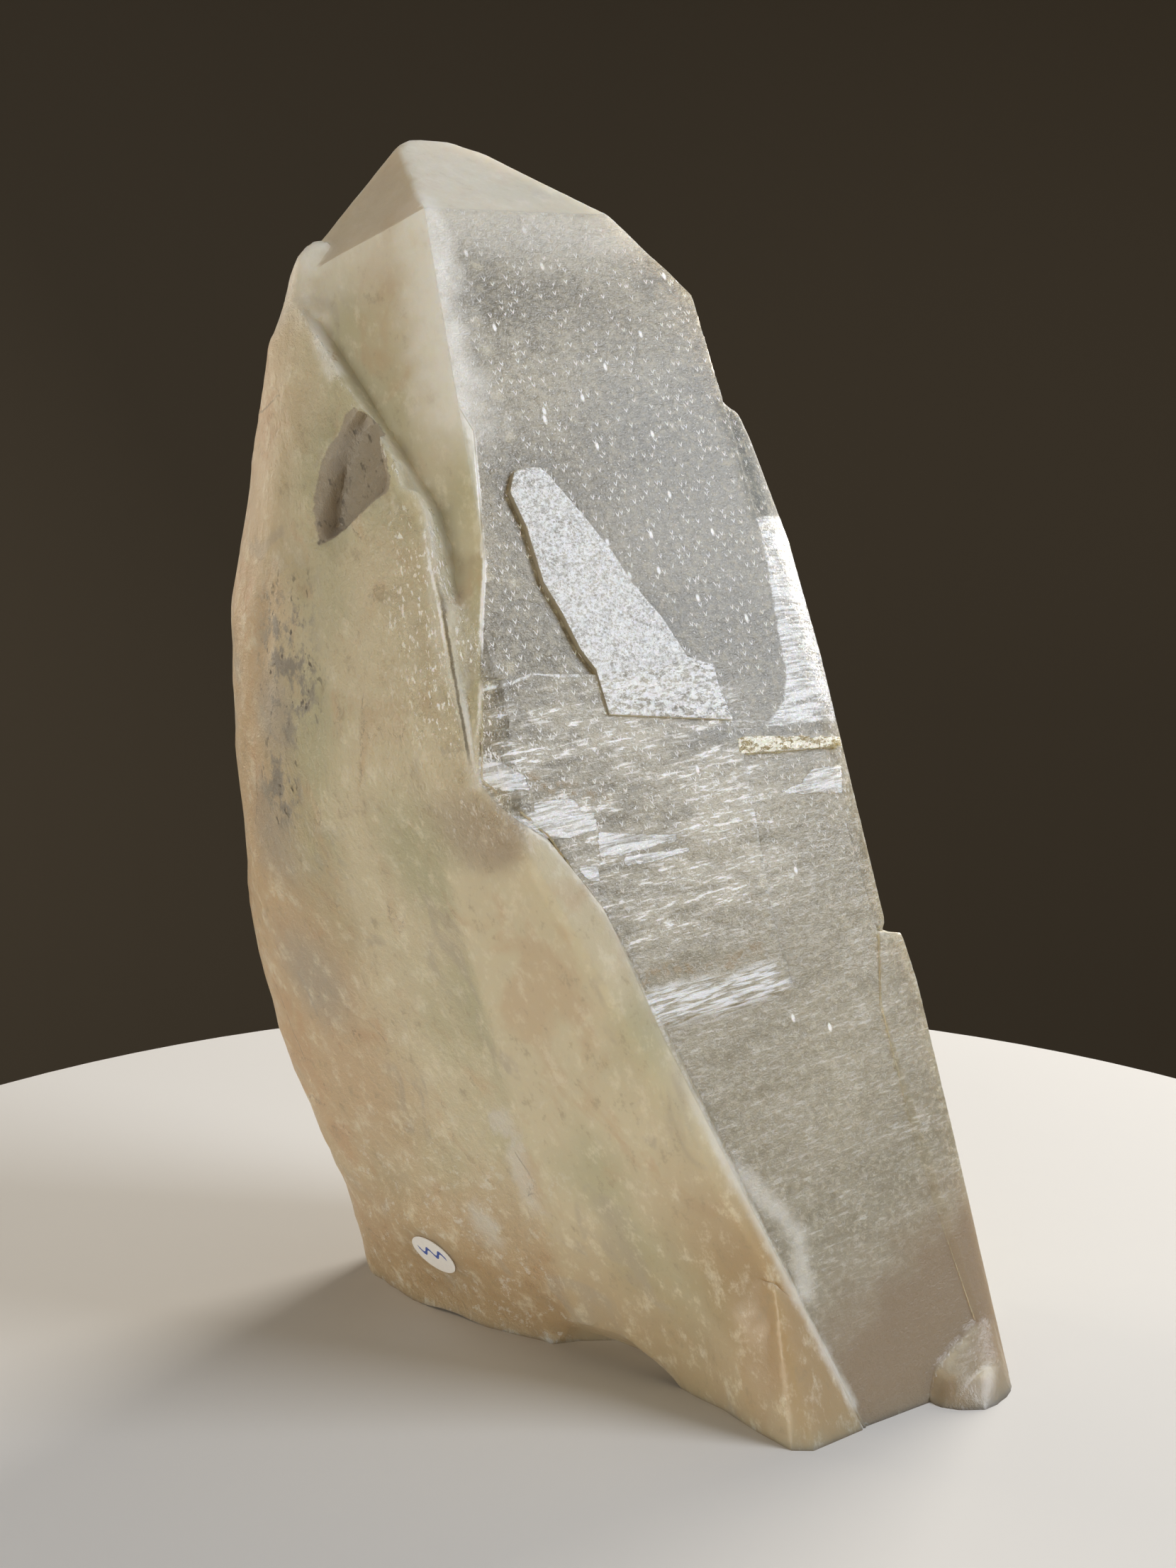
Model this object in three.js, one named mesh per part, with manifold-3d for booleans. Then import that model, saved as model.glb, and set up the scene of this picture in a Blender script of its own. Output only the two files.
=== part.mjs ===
// A pale citrine crystal that stands on its broken base: a main six-sided crystal with a
// parallel crystal grown on its left flank, fused into one body, and a small round label.
// Millimetres, +Z up. Shapes are made in the crystal's own frame (U along the broad front
// face, V into the crystal, W up its long axis), then leaned over and cut flat at the base.
import * as THREE from "three";
import { ConvexGeometry } from "three/addons/geometries/ConvexGeometry.js";
import { SimplexNoise } from "three/addons/math/SimplexNoise.js";
import { mergeVertices } from "three/addons/utils/BufferGeometryUtils.js";
import Module from "manifold-3d";

// How the long axis leans: 20 degrees off plumb, towards the back left.
const LEAN_DEG = 20.1;
const LEAN_TOWARDS_DEG = 139.8;
const TURN_ABOUT_AXIS_DEG = -106.3;

// Quartz angles: prism faces stand 60 degrees apart, tip faces rise 38.2 degrees.
const TIP_RISE_DEG = 38.2;
const WORN_TIP_RISE_DEG = 47;
const FLANK_TAPER_DEG = 5.2;

// Driving sizes of the main crystal.
const FACE_TOP_W = 175.7; // height of the front face, along the axis
const FACE_TOP_LEFT_U = -14.8;
const FACE_TOP_RIGHT_U = 16.8;
const RIGHT_SIDE_U = 28.4;
const BACK_LEFT_U = -36.5;
const BACK_RIGHT_U = 57;
const BACK_DEPTH = 62;
const BELOW_BASE_W = -40;
const TIP = [-0.7, 18.2, 199.0];
const TIP_RIGHT = [4.0, 17.5, 198.2];

// Surfaces.
const PLATE_STEP = 7; // thickness of the left crystal's plate at its crest
const TONGUE_PROUD = 0.9;
const GROWTH_STEP = 0.5;
const BACK_STEP = 0.8;
const LAYER_ROOT = 3; // how far a growth layer reaches into the face under it
const PIT_DEPTH = 2.6;
const PIT_CLOSING = 0.15; // share by which a pit's floor is smaller than its rim
const BACK_CHIP_RADIUS = 34;
const BACK_CHIP_AT = [37, 90, 34];
const BACK_CHIP_TURN = 0.4;

// The broken mass: how finely it is cut up, how it is rounded, and its roughness.
const MASS_EDGE = 6;
const MASS_ROUNDS = 7;
const FOOT_EDGE = 4;
const FOOT_ROUNDS = 3;
const FOOT_FREEDOM = 0.7;
const SOFTENING = 0.6;
const CREST_KEPT = 2; // sharp this near to the crest, and free to round beyond the next one
const CREST_FREE = 9;
const FRONT_KEPT = 0.5;
const FRONT_FREE = 6;
const ROUGH_FULLNESS = 1.1; // makes up for what the rounding takes off
const ROUGH_DEPTH = 0.8;
const ROUGH_WAVE = 17;
const ROUGH_STRETCH = 0.6; // waves are longer along the axis
const FACET_SHARE = 0.35; // the part of the roughness in small facets
const FACET_FINER = 2.7; // how many facets a wave holds
const FACET_SHIFT = 9;
const ROUGH_SEED = 11;

// The round label: a standard 8 mm dot in a shallow flat seat on the lower left flank.
const LABEL_RADIUS = 4;
const LABEL_THICKNESS = 0.4;
const LABEL_GAP = 0.3;
const SEAT_RADIUS = 4.5;
const SEAT_DEPTH = 0.7;
const SEAT_CLEARANCE = 3.5; // how far the seat's cut reaches out of the flank
const LABEL_AT = [-29.63, 51.04, 32.51];
const LABEL_NORMAL = [-0.88, -0.223, -0.42];

const radians = THREE.MathUtils.degToRad;
const vector = (p) => new THREE.Vector3(...p);

const wasm = await Module();
wasm.setup();

// ---- solids and meshes ------------------------------------------------------------------

function solid(geometry) {
  const bare = geometry.clone();
  bare.deleteAttribute("normal");
  bare.deleteAttribute("uv");
  const merged = mergeVertices(bare, 1e-4);
  return new wasm.Manifold(
    new wasm.Mesh({
      numProp: 3,
      vertProperties: merged.getAttribute("position").array,
      triVerts: new Uint32Array(merged.index.array),
    }),
  );
}

function geometryOf(body) {
  const mesh = body.getMesh();
  const geometry = new THREE.BufferGeometry();
  geometry.setAttribute("position", new THREE.BufferAttribute(mesh.vertProperties, 3));
  geometry.setIndex(new THREE.BufferAttribute(mesh.triVerts, 1));
  return geometry;
}

const hull = (points) => new ConvexGeometry(points.map(vector));

// One flat crystal face: turned about the long axis from the front face, raised towards the
// tip, and passing through a point.
function face(turnDeg, riseDeg, point) {
  const turn = radians(turnDeg);
  const rise = radians(riseDeg);
  const normal = new THREE.Vector3(
    -Math.sin(turn) * Math.cos(rise),
    -Math.cos(turn) * Math.cos(rise),
    Math.sin(rise),
  );
  return { normal, distance: normal.dot(vector(point)) };
}

// The convex body inside a set of faces, from every corner where three of them meet.
function habit(faces) {
  const corners = [];
  const basis = new THREE.Matrix3();
  for (let i = 0; i < faces.length; i++) {
    for (let j = i + 1; j < faces.length; j++) {
      for (let k = j + 1; k < faces.length; k++) {
        const [a, b, c] = [faces[i], faces[j], faces[k]];
        basis.set(...a.normal, ...b.normal, ...c.normal);
        if (Math.abs(basis.determinant()) < 1e-3) continue;
        const corner = new THREE.Vector3(a.distance, b.distance, c.distance);
        corner.applyMatrix3(basis.invert());
        if (faces.every((f) => f.normal.dot(corner) < f.distance + 1e-3)) corners.push(corner);
      }
    }
  }
  return new ConvexGeometry(corners);
}

// Splits every edge longer than a limit at its middle, alike on both sides of the edge.
function refine(geometry, limit) {
  const bare = geometry.clone();
  bare.deleteAttribute("normal");
  bare.deleteAttribute("uv");
  const merged = mergeVertices(bare, 1e-4);
  const points = [];
  for (let i = 0; i < merged.attributes.position.count; i++) {
    points.push(new THREE.Vector3().fromBufferAttribute(merged.attributes.position, i));
  }
  let faces = [];
  for (let i = 0; i < merged.index.count; i += 3) faces.push([...merged.index.array.slice(i, i + 3)]);
  for (let busy = true; busy; ) {
    busy = false;
    const middles = new Map();
    const middle = (a, b) => {
      if (points[a].distanceTo(points[b]) <= limit) return -1;
      const key = Math.min(a, b) * 1e6 + Math.max(a, b);
      if (!middles.has(key)) {
        middles.set(key, points.length);
        points.push(points[a].clone().lerp(points[b], 0.5));
      }
      return middles.get(key);
    };
    const next = [];
    for (const [a, b, c] of faces) {
      const [ab, bc, ca] = [middle(a, b), middle(b, c), middle(c, a)];
      const split = [ab, bc, ca].filter((m) => m >= 0).length;
      if (split === 0) {
        next.push([a, b, c]);
        continue;
      }
      busy = true;
      if (split === 3) next.push([a, ab, ca], [ab, b, bc], [ca, bc, c], [ab, bc, ca]);
      else if (split === 1) {
        if (ab >= 0) next.push([a, ab, c], [ab, b, c]);
        else if (bc >= 0) next.push([b, bc, a], [bc, c, a]);
        else next.push([c, ca, b], [ca, a, b]);
      } else {
        // Two edges split: cut off the corner between them, then halve the rest.
        const [p, q, r, pq, rp] =
          bc < 0 ? [a, b, c, ab, ca] : ca < 0 ? [b, c, a, bc, ab] : [c, a, b, ca, bc];
        next.push([p, pq, rp]);
        if (points[pq].distanceTo(points[r]) < points[rp].distanceTo(points[q])) {
          next.push([pq, q, r], [pq, r, rp]);
        } else {
          next.push([pq, q, rp], [q, r, rp]);
        }
      }
    }
    faces = next;
  }
  const refined = new THREE.BufferGeometry().setFromPoints(points);
  refined.setIndex(faces.flat());
  return refined;
}

// A seeded noise, so that the broken surfaces come out the same every time.
function seededNoise(seed) {
  let state = seed;
  const random = () => {
    state = (state * 16807) % 2147483647;
    return state / 2147483647;
  };
  return new SimplexNoise({ random });
}

const pointsOf = (geometry) => {
  const { position } = geometry.attributes;
  return Array.from({ length: position.count }, (_, i) =>
    new THREE.Vector3().fromBufferAttribute(position, i),
  );
};

// Rounds a surface by moving each point towards its neighbours, as far as the place allows.
function soften(geometry, freedom, rounds) {
  const index = geometry.index.array;
  const near = Array.from({ length: geometry.attributes.position.count }, () => new Set());
  for (let i = 0; i < index.length; i += 3) {
    const [a, b, c] = index.slice(i, i + 3);
    near[a].add(b).add(c);
    near[b].add(c).add(a);
    near[c].add(a).add(b);
  }
  let points = pointsOf(geometry);
  const free = points.map(freedom);
  for (let round = 0; round < rounds; round++) {
    points = points.map((p, i) => {
      const mean = new THREE.Vector3();
      for (const j of near[i]) mean.add(points[j]);
      mean.divideScalar(near[i].size);
      return p.clone().lerp(mean, SOFTENING * free[i]);
    });
  }
  return new THREE.BufferGeometry().setFromPoints(points).setIndex(geometry.index);
}

// Moves each point of the broken flank along its normal: out by a fullness, and then by long
// waves, stretched along the axis, with smaller facets on them.
function roughen(geometry) {
  const noise = seededNoise(ROUGH_SEED);
  geometry.computeVertexNormals();
  const { normal } = geometry.attributes;
  const points = pointsOf(geometry).map((p, i) => {
    const q = p.clone().divideScalar(ROUGH_WAVE);
    q.z *= ROUGH_STRETCH;
    const wave = noise.noise3d(...q);
    q.multiplyScalar(FACET_FINER);
    const facet = noise.noise3d(q.x + FACET_SHIFT, q.y, q.z);
    const out = new THREE.Vector3().fromBufferAttribute(normal, i);
    const roughness = (1 - FACET_SHARE) * wave + FACET_SHARE * facet;
    const rise = ROUGH_FULLNESS + ROUGH_DEPTH * roughness;
    return p.clone().addScaledVector(out, freedom(p) * rise);
  });
  return new THREE.BufferGeometry().setFromPoints(points).setIndex(geometry.index);
}

// A thin growth layer on a prism face: its outline along the face and up the axis, how far it
// stands out, and where the face is (its turn, and its distance from the long axis).
function layer(outline, proud, turnDeg = 0, distance = 0) {
  const shape = new THREE.Shape(outline.map(([u, w]) => new THREE.Vector2(u, w)));
  const depth = proud + LAYER_ROOT;
  const plate = new THREE.ExtrudeGeometry(shape, { depth, bevelEnabled: false });
  // The outline is drawn in XY and extruded along Z: turn W up and the outside towards -V.
  plate.rotateX(Math.PI / 2);
  plate.translate(0, LAYER_ROOT - distance, 0);
  plate.rotateZ(-radians(turnDeg));
  return plate;
}

// ---- the main crystal -------------------------------------------------------------------

const bottom = { normal: new THREE.Vector3(0, 0, -1), distance: -BELOW_BASE_W };
const faceTopLeft = [FACE_TOP_LEFT_U, 0, FACE_TOP_W];
const faceTopRight = [FACE_TOP_RIGHT_U, 0, FACE_TOP_W];

// The broken lower left flank, under the left crystal, keeps the main one inside it.
const flankNormal = vector([-0.894, -0.33, -0.246]).normalize();
const brokenFlank = { normal: flankNormal, distance: flankNormal.dot(vector([-9.8, 0, 34.6])) };

const mainCrystal = habit([
  face(0, 0, [0, 0, 0]),
  face(60, FLANK_TAPER_DEG, faceTopLeft),
  face(120, 0, [BACK_LEFT_U, 0, 0]),
  face(180, 0, [0, BACK_DEPTH, 0]),
  face(240, 0, [BACK_RIGHT_U, 0, 0]),
  face(300, 0, [RIGHT_SIDE_U, 0, 0]),
  face(0, TIP_RISE_DEG, faceTopLeft),
  face(60, TIP_RISE_DEG, faceTopLeft),
  face(300, TIP_RISE_DEG, faceTopRight),
  face(120, WORN_TIP_RISE_DEG, TIP),
  face(180, TIP_RISE_DEG, TIP_RIGHT),
  face(240, TIP_RISE_DEG, TIP_RIGHT),
  brokenFlank,
  bottom,
]);

// Where the front face widens to the left, half way down.
const shoulder = hull([
  [-19.3, 0, 128],
  [-30.2, 0, 94.6],
  [-27.3, 13.9, 128],
  [-32.0, 3.4, 94.6],
  [-20, 0, 80],
  [-10, 0, 128],
  [-10, 30, 128],
  [-20, 30, 80],
]);

// ---- the crystals grown on it -----------------------------------------------------------

// The upper left crystal: a thick plate, 3 mm proud of the flank, with a sharp crest. Its
// edge runs from the top left down to the point where the crest runs out.
const plateNormal = vector([-0.86, -0.49, 0.12]).normalize();
const plateEdge = [
  [-28.7, 16.6, 168.4],
  [-28.1, 13.0, 157.6],
  [-27.0, 7.9, 145.3],
  [-25.7, 2.7, 132.9],
  [-28.7, 3.3, 114.3],
  [-28.9, 0.7, 102.0],
  [-30.2, 0.2, 94.6],
];
const leftPlate = hull([
  ...plateEdge,
  ...plateEdge.map((p) => vector(p).addScaledVector(plateNormal, -PLATE_STEP)),
  // the bend between the front of the plate and its left side
  [-28.5, 15.2, 164.1],
  [-31.3, 16.5, 149.3],
  [-34.3, 18.0, 133.8],
  [-38.4, 21.3, 118.1],
  [-42.7, 25.1, 102.8],
  // the left outline
  [-27.0, 21.5, 178.0],
  [-30.5, 27.1, 166.9],
  [-34.2, 31.2, 155.9],
  [-38.2, 35.9, 145.8],
  [-40.8, 38.1, 135.8],
  [-44.0, 39.7, 118.5],
  [-47.0, 41.5, 108.0],
  // down into the lower mass, and round the back
  [-43.0, 43.0, 95.0],
  [-27.0, 6.0, 88.0],
  [-18, 31, 176],
  [-20, 46, 156],
  [-30, 50, 146],
  [-36, 62, 112],
  [-12, 64, 128],
  [-8, 66, 90],
]);

// The small blunt tip of the left crystal.
const leftTip = hull([
  [-21.8, 16.8, 181.0],
  [-24.0, 17.2, 181.8],
  [-27.0, 17.8, 179.6],
  [-28.4, 18.5, 176.0],
  [-28.6, 18.0, 168.0],
  [-20, 15, 168],
  [-20, 26, 181],
  [-26, 27, 177],
  [-24, 26, 160],
]);

// The lower left mass: its corner with the front face runs down to the foot.
const lowerMass = hull([
  // the corner with the front face, a little proud of it
  [-30.2, 0.3, 94.6],
  [-27.6, -0.6, 90.0],
  [-22.2, -1.0, 84.7],
  [-17.6, -1.2, 75.5],
  [-14.0, -1.0, 57.4],
  [-8.0, -0.8, 34.6],
  [-3.3, -0.5, 17.4],
  [0.6, -0.3, 3.4],
  [4.0, 0, -9],
  // the left outline
  [-48.3, 39.5, 106.0],
  [-45.9, 51.0, 92.5],
  [-44.2, 56.0, 82.0],
  [-42.0, 61.0, 70.8],
  [-38.0, 67.5, 51.2],
  [-34.0, 68.0, 39.3],
  [-28.6, 77.7, 30.4],
  // the low bulge that curls under to the floor
  [-35.4, 58.0, 45.1],
  [-30.0, 50.0, 35.8],
  [-25.0, 41.2, 30.7],
  [-18.6, 30.5, 25.7],
  [-10.9, 19.5, 18.5],
  [-28.3, 59.7, 23.9],
  [-22.4, 49.1, 19.6],
  [-16.5, 40.9, 16.0],
  // below the base and round the back
  [-20, 62, 0],
  [-22, 84, 10],
  [-2, 82, -20],
  [-10, 76, 70],
  [-30, 76, 60],
  [-36, 62, 105],
  [-45, 35, 112],
  [-30, 5, 104],
  [-8, 60, 100],
  [0, 30, 60],
  [10, 40, 0],
  [10, 6, -10],
]);

// The foot, where the mass flares out to the front.
const toe = hull([
  [-7.9, -0.8, 0.6],
  [-10.2, 0.7, 1.3],
  [-11.2, 5.0, 2.8],
  [-10.9, 10.2, 4.7],
  [-9.8, 20.3, 8.1],
  [-10, 22, 22],
  [-6.5, -0.4, 22],
  [-3.3, -0.5, 17.4],
  [1.1, -0.4, 0],
  [0, 20, 0],
  [-6, 0, -8],
  [-6, 20, -4],
  [4, 10, -8],
]);

// A thin crystal along the right side, and a second one below it.
const rightCrystal = hull([
  [27.4, 0.2, 146.0],
  [31.6, 1.0, 143.8],
  [33.0, 1.6, 140.0],
  [36.6, 3.6, 124.0],
  [36.6, 3.8, 106.0],
  [35.2, 3.4, 92.0],
  [32.0, 1.6, 76.8],
  [30.7, 0.4, 63.0],
  [27.8, 0, 122.0],
  [26.4, 0, 105.0],
  [21.0, 0, 94.0],
  [22, 0, 60],
  [41, 14, 143],
  [47, 22, 121],
  [46, 22, 78],
  [42, 17, 58],
  [30, 30, 146],
  [30, 30, 60],
]);
const lowerRightCrystal = hull([
  [28.5, -0.4, 62.0],
  [33.1, 0.2, 60.8],
  [33.8, 0.6, 53.5],
  [32.2, 0.4, 33.8],
  [29.8, 0.2, 12.6],
  [28.7, 0, -5.6],
  [27, -0.5, -20],
  [24, 0, 30],
  [25, -0.4, 52],
  [44, 20, 62],
  [44, 22, -20],
  [20, 30, 62],
  [20, 30, -20],
]);
const rightFoot = hull([
  [14.0, 0.5, 3.0],
  [29.5, 0.5, 8.0],
  [12.3, -1.9, -1.9],
  [18.1, -6.2, -4.0],
  [25.2, -3.9, -2.0],
  [27.5, -1.5, -0.5],
  [25.2, -3.9, -8],
  [18.1, -6.2, -9],
  [12, -1.9, -8],
  [14, 10, -8],
  [30, 10, -8],
  [30, 10, 8],
]);

// ---- growth layers on the front face ----------------------------------------------------

const tongue = layer(
  [
    [-14.1, 133.2],
    [-13.0, 128.0],
    [-12.7, 120.0],
    [-11.1, 115.4],
    [-9.8, 110.1],
    [-8.2, 107.0],
    [-8.0, 100.5],
    [12.6, 96.7],
    [11.7, 101.5],
    [11.9, 105.1],
    [7.7, 106.8],
    [5.3, 112.9],
    [1.7, 118.6],
    [-0.2, 123.5],
    [-3.6, 129.6],
    [-7.4, 135.6],
    [-8.2, 136.5],
    [-11.2, 136.5],
    [-12.6, 136.0],
  ],
  TONGUE_PROUD,
);
const lowerLayer = layer(
  [
    [-25.6, 107.9],
    [-29.6, 95.0],
    [-22.0, 86.0],
    [-17.2, 74.2],
    [-14.0, 58.5],
    [10.3, 57.9],
    [10.0, 67.1],
    [13.1, 91.9],
    [11.9, 105.1],
    [-7.6, 106.3],
    [-15.2, 107.4],
  ],
  GROWTH_STEP,
);
const rightBand = layer(
  [
    [12.4, 94.3],
    [12.6, 91.7],
    [22.0, 90.7],
    [31.6, 89.9],
    [31.7, 91.3],
    [22.0, 93.0],
  ],
  GROWTH_STEP,
);

// ---- growth layers on the hidden faces --------------------------------------------------

const rightFaceDistance = face(300, 0, [RIGHT_SIDE_U, 0, 0]).distance;
const backRightDistance = face(240, 0, [BACK_RIGHT_U, 0, 0]).distance;

const rightLayer = layer(
  [
    [22, 152],
    [23, 128],
    [27, 121],
    [27, 84],
    [36, 80],
    [42, 82],
    [42, 118],
    [38, 127],
    [38, 148],
    [33, 154],
  ],
  BACK_STEP,
  300,
  rightFaceDistance,
);
const backRightLayer = layer(
  [
    [1, 24],
    [9, 18],
    [27, 20],
    [29, 28],
    [42, 31],
    [42, 84],
    [33, 87],
    [30, 99],
    [17, 101],
    [13, 93],
    [1, 90],
  ],
  BACK_STEP,
  240,
  backRightDistance,
);
const backRightTopLayer = layer(
  [
    [7, 36],
    [22, 33],
    [27, 47],
    [25, 66],
    [20, 78],
    [9, 74],
  ],
  2 * BACK_STEP,
  240,
  backRightDistance,
);
const backLayer = layer(
  [
    [-20.5, 36],
    [-2, 34],
    [-2, 96],
    [-7, 104],
    [-13, 108],
    [-20.5, 100],
  ],
  BACK_STEP,
  180,
  BACK_DEPTH,
);

// ---- breaks -----------------------------------------------------------------------------

// Pits where the top of the plate has broken away at its crest, drawn as corners on its front.
const widePit = [
  [-27.5, 9.3, 151.9],
  [-26.7, 7.1, 148.7],
  [-27.5, 7.0, 142.6],
  [-27.9, 6.8, 139.1],
  [-28.3, 7.1, 137.4],
  [-30.5, 10.5, 135.3],
  [-32.5, 13.8, 134.6],
  [-34.6, 17.4, 134.2],
  [-33.9, 16.8, 137.0],
  [-32.3, 15.2, 141.6],
  [-31.2, 14.3, 145.7],
  [-29.0, 11.5, 150.3],
];
const smallPit = [
  [-26.7, 6.1, 144.8],
  [-26.2, 5.1, 144.3],
  [-26.0, 4.3, 142.7],
  [-25.6, 3.1, 140.0],
  [-25.2, 1.8, 137.6],
  [-25.4, 1.7, 136.4],
  [-25.8, 2.2, 135.0],
  [-27.0, 4.6, 136.5],
  [-27.4, 5.5, 137.5],
];

// A pit's walls close in a little towards its floor.
function pit(corners) {
  const rim = corners.map(vector);
  const middle = rim.reduce((sum, p) => sum.add(p), new THREE.Vector3()).divideScalar(rim.length);
  const out = rim.map((p) => p.clone().addScaledVector(plateNormal, PIT_DEPTH));
  const into = rim.map((p) =>
    p.clone().lerp(middle, PIT_CLOSING).addScaledVector(plateNormal, -PIT_DEPTH),
  );
  return new ConvexGeometry([...out, ...into]);
}

// A hollow under the front left edge of the base.
const baseHollow = hull([
  [-13.5, 38.0, 12.5],
  [-11.4, 36.0, 13.8],
  [-8.8, 27.5, 10.6],
  [-9.8, 20.3, 8.1],
  [-14.0, 18.0, 6.0],
  [-16.5, 27.0, 17.5],
  [-22.0, 40.0, 22.0],
  [-30.0, 20.0, 0.0],
  [-30.0, 44.0, 8.0],
  [-14.0, 30.0, 2.0],
]);

// A shell-shaped chip off the back corner, low down.
const backChip = new THREE.SphereGeometry(BACK_CHIP_RADIUS, 48, 32);
backChip.rotateX(BACK_CHIP_TURN);
backChip.translate(...BACK_CHIP_AT);

// ---- the label and its seat -------------------------------------------------------------

const labelNormal = vector(LABEL_NORMAL).normalize();
const toLabelNormal = new THREE.Quaternion().setFromUnitVectors(
  new THREE.Vector3(0, 1, 0),
  labelNormal,
);

// A disc square to the label's normal, between two heights above the flank at that point.
function disc(radius, low, high) {
  const round = new THREE.CylinderGeometry(radius, radius, high - low, 48);
  round.translate(0, (low + high) / 2, 0);
  round.applyQuaternion(toLabelNormal);
  round.translate(...LABEL_AT);
  return round;
}
const labelSeat = disc(SEAT_RADIUS, -SEAT_DEPTH, SEAT_CLEARANCE);
const labelBack = LABEL_GAP - SEAT_DEPTH;
const labelDisc = disc(LABEL_RADIUS, labelBack, labelBack + LABEL_THICKNESS);

// ---- the whole --------------------------------------------------------------------------

// The crest and the corner with the front face stay sharp, and the rest is rounded.
const sharpLines = plateEdge.slice(1).map((p, i) => new THREE.Line3(vector(plateEdge[i]), vector(p)));
function freedom(p) {
  const foot = new THREE.Vector3();
  const toCrest = Math.min(
    ...sharpLines.map((line) => line.closestPointToPoint(p, true, foot).distanceTo(p)),
  );
  const { smoothstep } = THREE.MathUtils;
  return (
    smoothstep(toCrest, CREST_KEPT, CREST_FREE) * smoothstep(p.y, FRONT_KEPT, FRONT_FREE)
  );
}

const flank = geometryOf(solid(leftPlate).add(solid(lowerMass)).add(solid(toe)));
const rounded = soften(refine(flank, MASS_EDGE), freedom, MASS_ROUNDS);
const roughFlank = roughen(rounded);
const roundFoot = soften(refine(rightFoot, FOOT_EDGE), () => FOOT_FREEDOM, FOOT_ROUNDS);

const body = [
  shoulder,
  roughFlank,
  leftTip,
  rightCrystal,
  lowerRightCrystal,
  roundFoot,
  tongue,
  lowerLayer,
  rightBand,
  rightLayer,
  backRightLayer,
  backRightTopLayer,
  backLayer,
].reduce((whole, piece) => whole.add(solid(piece)), solid(mainCrystal));
const broken = [pit(widePit), pit(smallPit), baseHollow, backChip, labelSeat].reduce(
  (whole, piece) => whole.subtract(solid(piece)),
  body,
);

const lean = new THREE.Matrix4()
  .makeRotationZ(radians(LEAN_TOWARDS_DEG))
  .multiply(new THREE.Matrix4().makeRotationY(radians(LEAN_DEG)))
  .multiply(new THREE.Matrix4().makeRotationZ(radians(TURN_ABOUT_AXIS_DEG)));

const leaning = geometryOf(broken).applyMatrix4(lean);
const ground = new THREE.BoxGeometry(400, 400, 200).translate(0, 0, -100);
const standing = geometryOf(solid(leaning).subtract(solid(ground)));
labelDisc.applyMatrix4(lean);

// The origin is on the floor, under the middle of the whole.
standing.computeBoundingBox();
const middle = standing.boundingBox.getCenter(new THREE.Vector3());
for (const geometry of [standing, labelDisc]) geometry.translate(-middle.x, -middle.y, 0);

function piece(name, geometry, color, roughness) {
  const material = new THREE.MeshStandardMaterial({ color, roughness, metalness: 0 });
  const mesh = new THREE.Mesh(geometry, material);
  mesh.name = name;
  return mesh;
}

const part = new THREE.Group();
part.add(piece("crystal", standing, 0xd8cdb8, 0.3));
part.add(piece("round_label", labelDisc, 0xf0efec, 0.35));
export default part;
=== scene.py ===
"""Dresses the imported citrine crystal: a milky, partly smoky quartz point with its round label."""

from functools import partial, reduce

import bmesh
import bpy
import numpy as np
from mathutils import Matrix, Vector
from mathutils.bvhtree import BVHTree


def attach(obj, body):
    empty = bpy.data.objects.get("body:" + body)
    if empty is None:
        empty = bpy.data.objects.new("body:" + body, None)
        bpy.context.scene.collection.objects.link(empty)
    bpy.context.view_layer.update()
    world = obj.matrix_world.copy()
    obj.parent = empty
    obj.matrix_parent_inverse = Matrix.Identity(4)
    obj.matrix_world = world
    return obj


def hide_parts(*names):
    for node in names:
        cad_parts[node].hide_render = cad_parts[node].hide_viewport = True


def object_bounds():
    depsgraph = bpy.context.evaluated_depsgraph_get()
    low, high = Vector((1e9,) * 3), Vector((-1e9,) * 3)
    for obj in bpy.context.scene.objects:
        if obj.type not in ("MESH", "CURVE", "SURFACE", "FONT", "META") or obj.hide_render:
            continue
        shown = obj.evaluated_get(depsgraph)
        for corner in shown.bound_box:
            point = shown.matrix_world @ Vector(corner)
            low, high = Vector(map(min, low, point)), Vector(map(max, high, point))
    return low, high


bl_info = {
    "name": "Citrine crystal",
    "version": (1, 0, 0),
    "blender": (4, 5, 0),
    "location": "View3D > Sidebar > Crystal",
    "description": "Builds a milky citrine point, its round label and a plain studio",
    "category": "Add Mesh",
}

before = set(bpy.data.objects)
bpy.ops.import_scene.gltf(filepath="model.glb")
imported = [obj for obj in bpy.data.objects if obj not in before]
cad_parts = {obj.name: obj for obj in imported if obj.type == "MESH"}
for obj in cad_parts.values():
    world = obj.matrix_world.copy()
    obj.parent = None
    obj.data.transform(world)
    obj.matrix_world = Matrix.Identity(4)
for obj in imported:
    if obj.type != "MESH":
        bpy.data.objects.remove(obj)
CAD_LOW, CAD_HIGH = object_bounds()

MM = 0.001

# ---- the crystal's own frame ----
# U runs along the broad front face, V into the crystal, W up its long axis, in millimetres.
LEAN_DEG = 20.1
LEAN_TOWARDS_DEG = 139.8
TURN_ABOUT_AXIS_DEG = -106.3
FOOT = np.array([32.624, -43.883, 0.0])  # where U, V and W are all zero, in the row frame


def turned(angle_deg, axis):
    return Matrix.Rotation(np.radians(angle_deg), 3, axis)


LEAN = np.array(
    turned(LEAN_TOWARDS_DEG, "Z") @ turned(LEAN_DEG, "Y") @ turned(TURN_ABOUT_AXIS_DEG, "Z")
)


def to_own_frame(points):
    """Row frame to U, V, W, both in millimetres."""
    return (points - FOOT) @ LEAN


def to_row_frame(points):
    return points @ LEAN.T + FOOT


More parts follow.
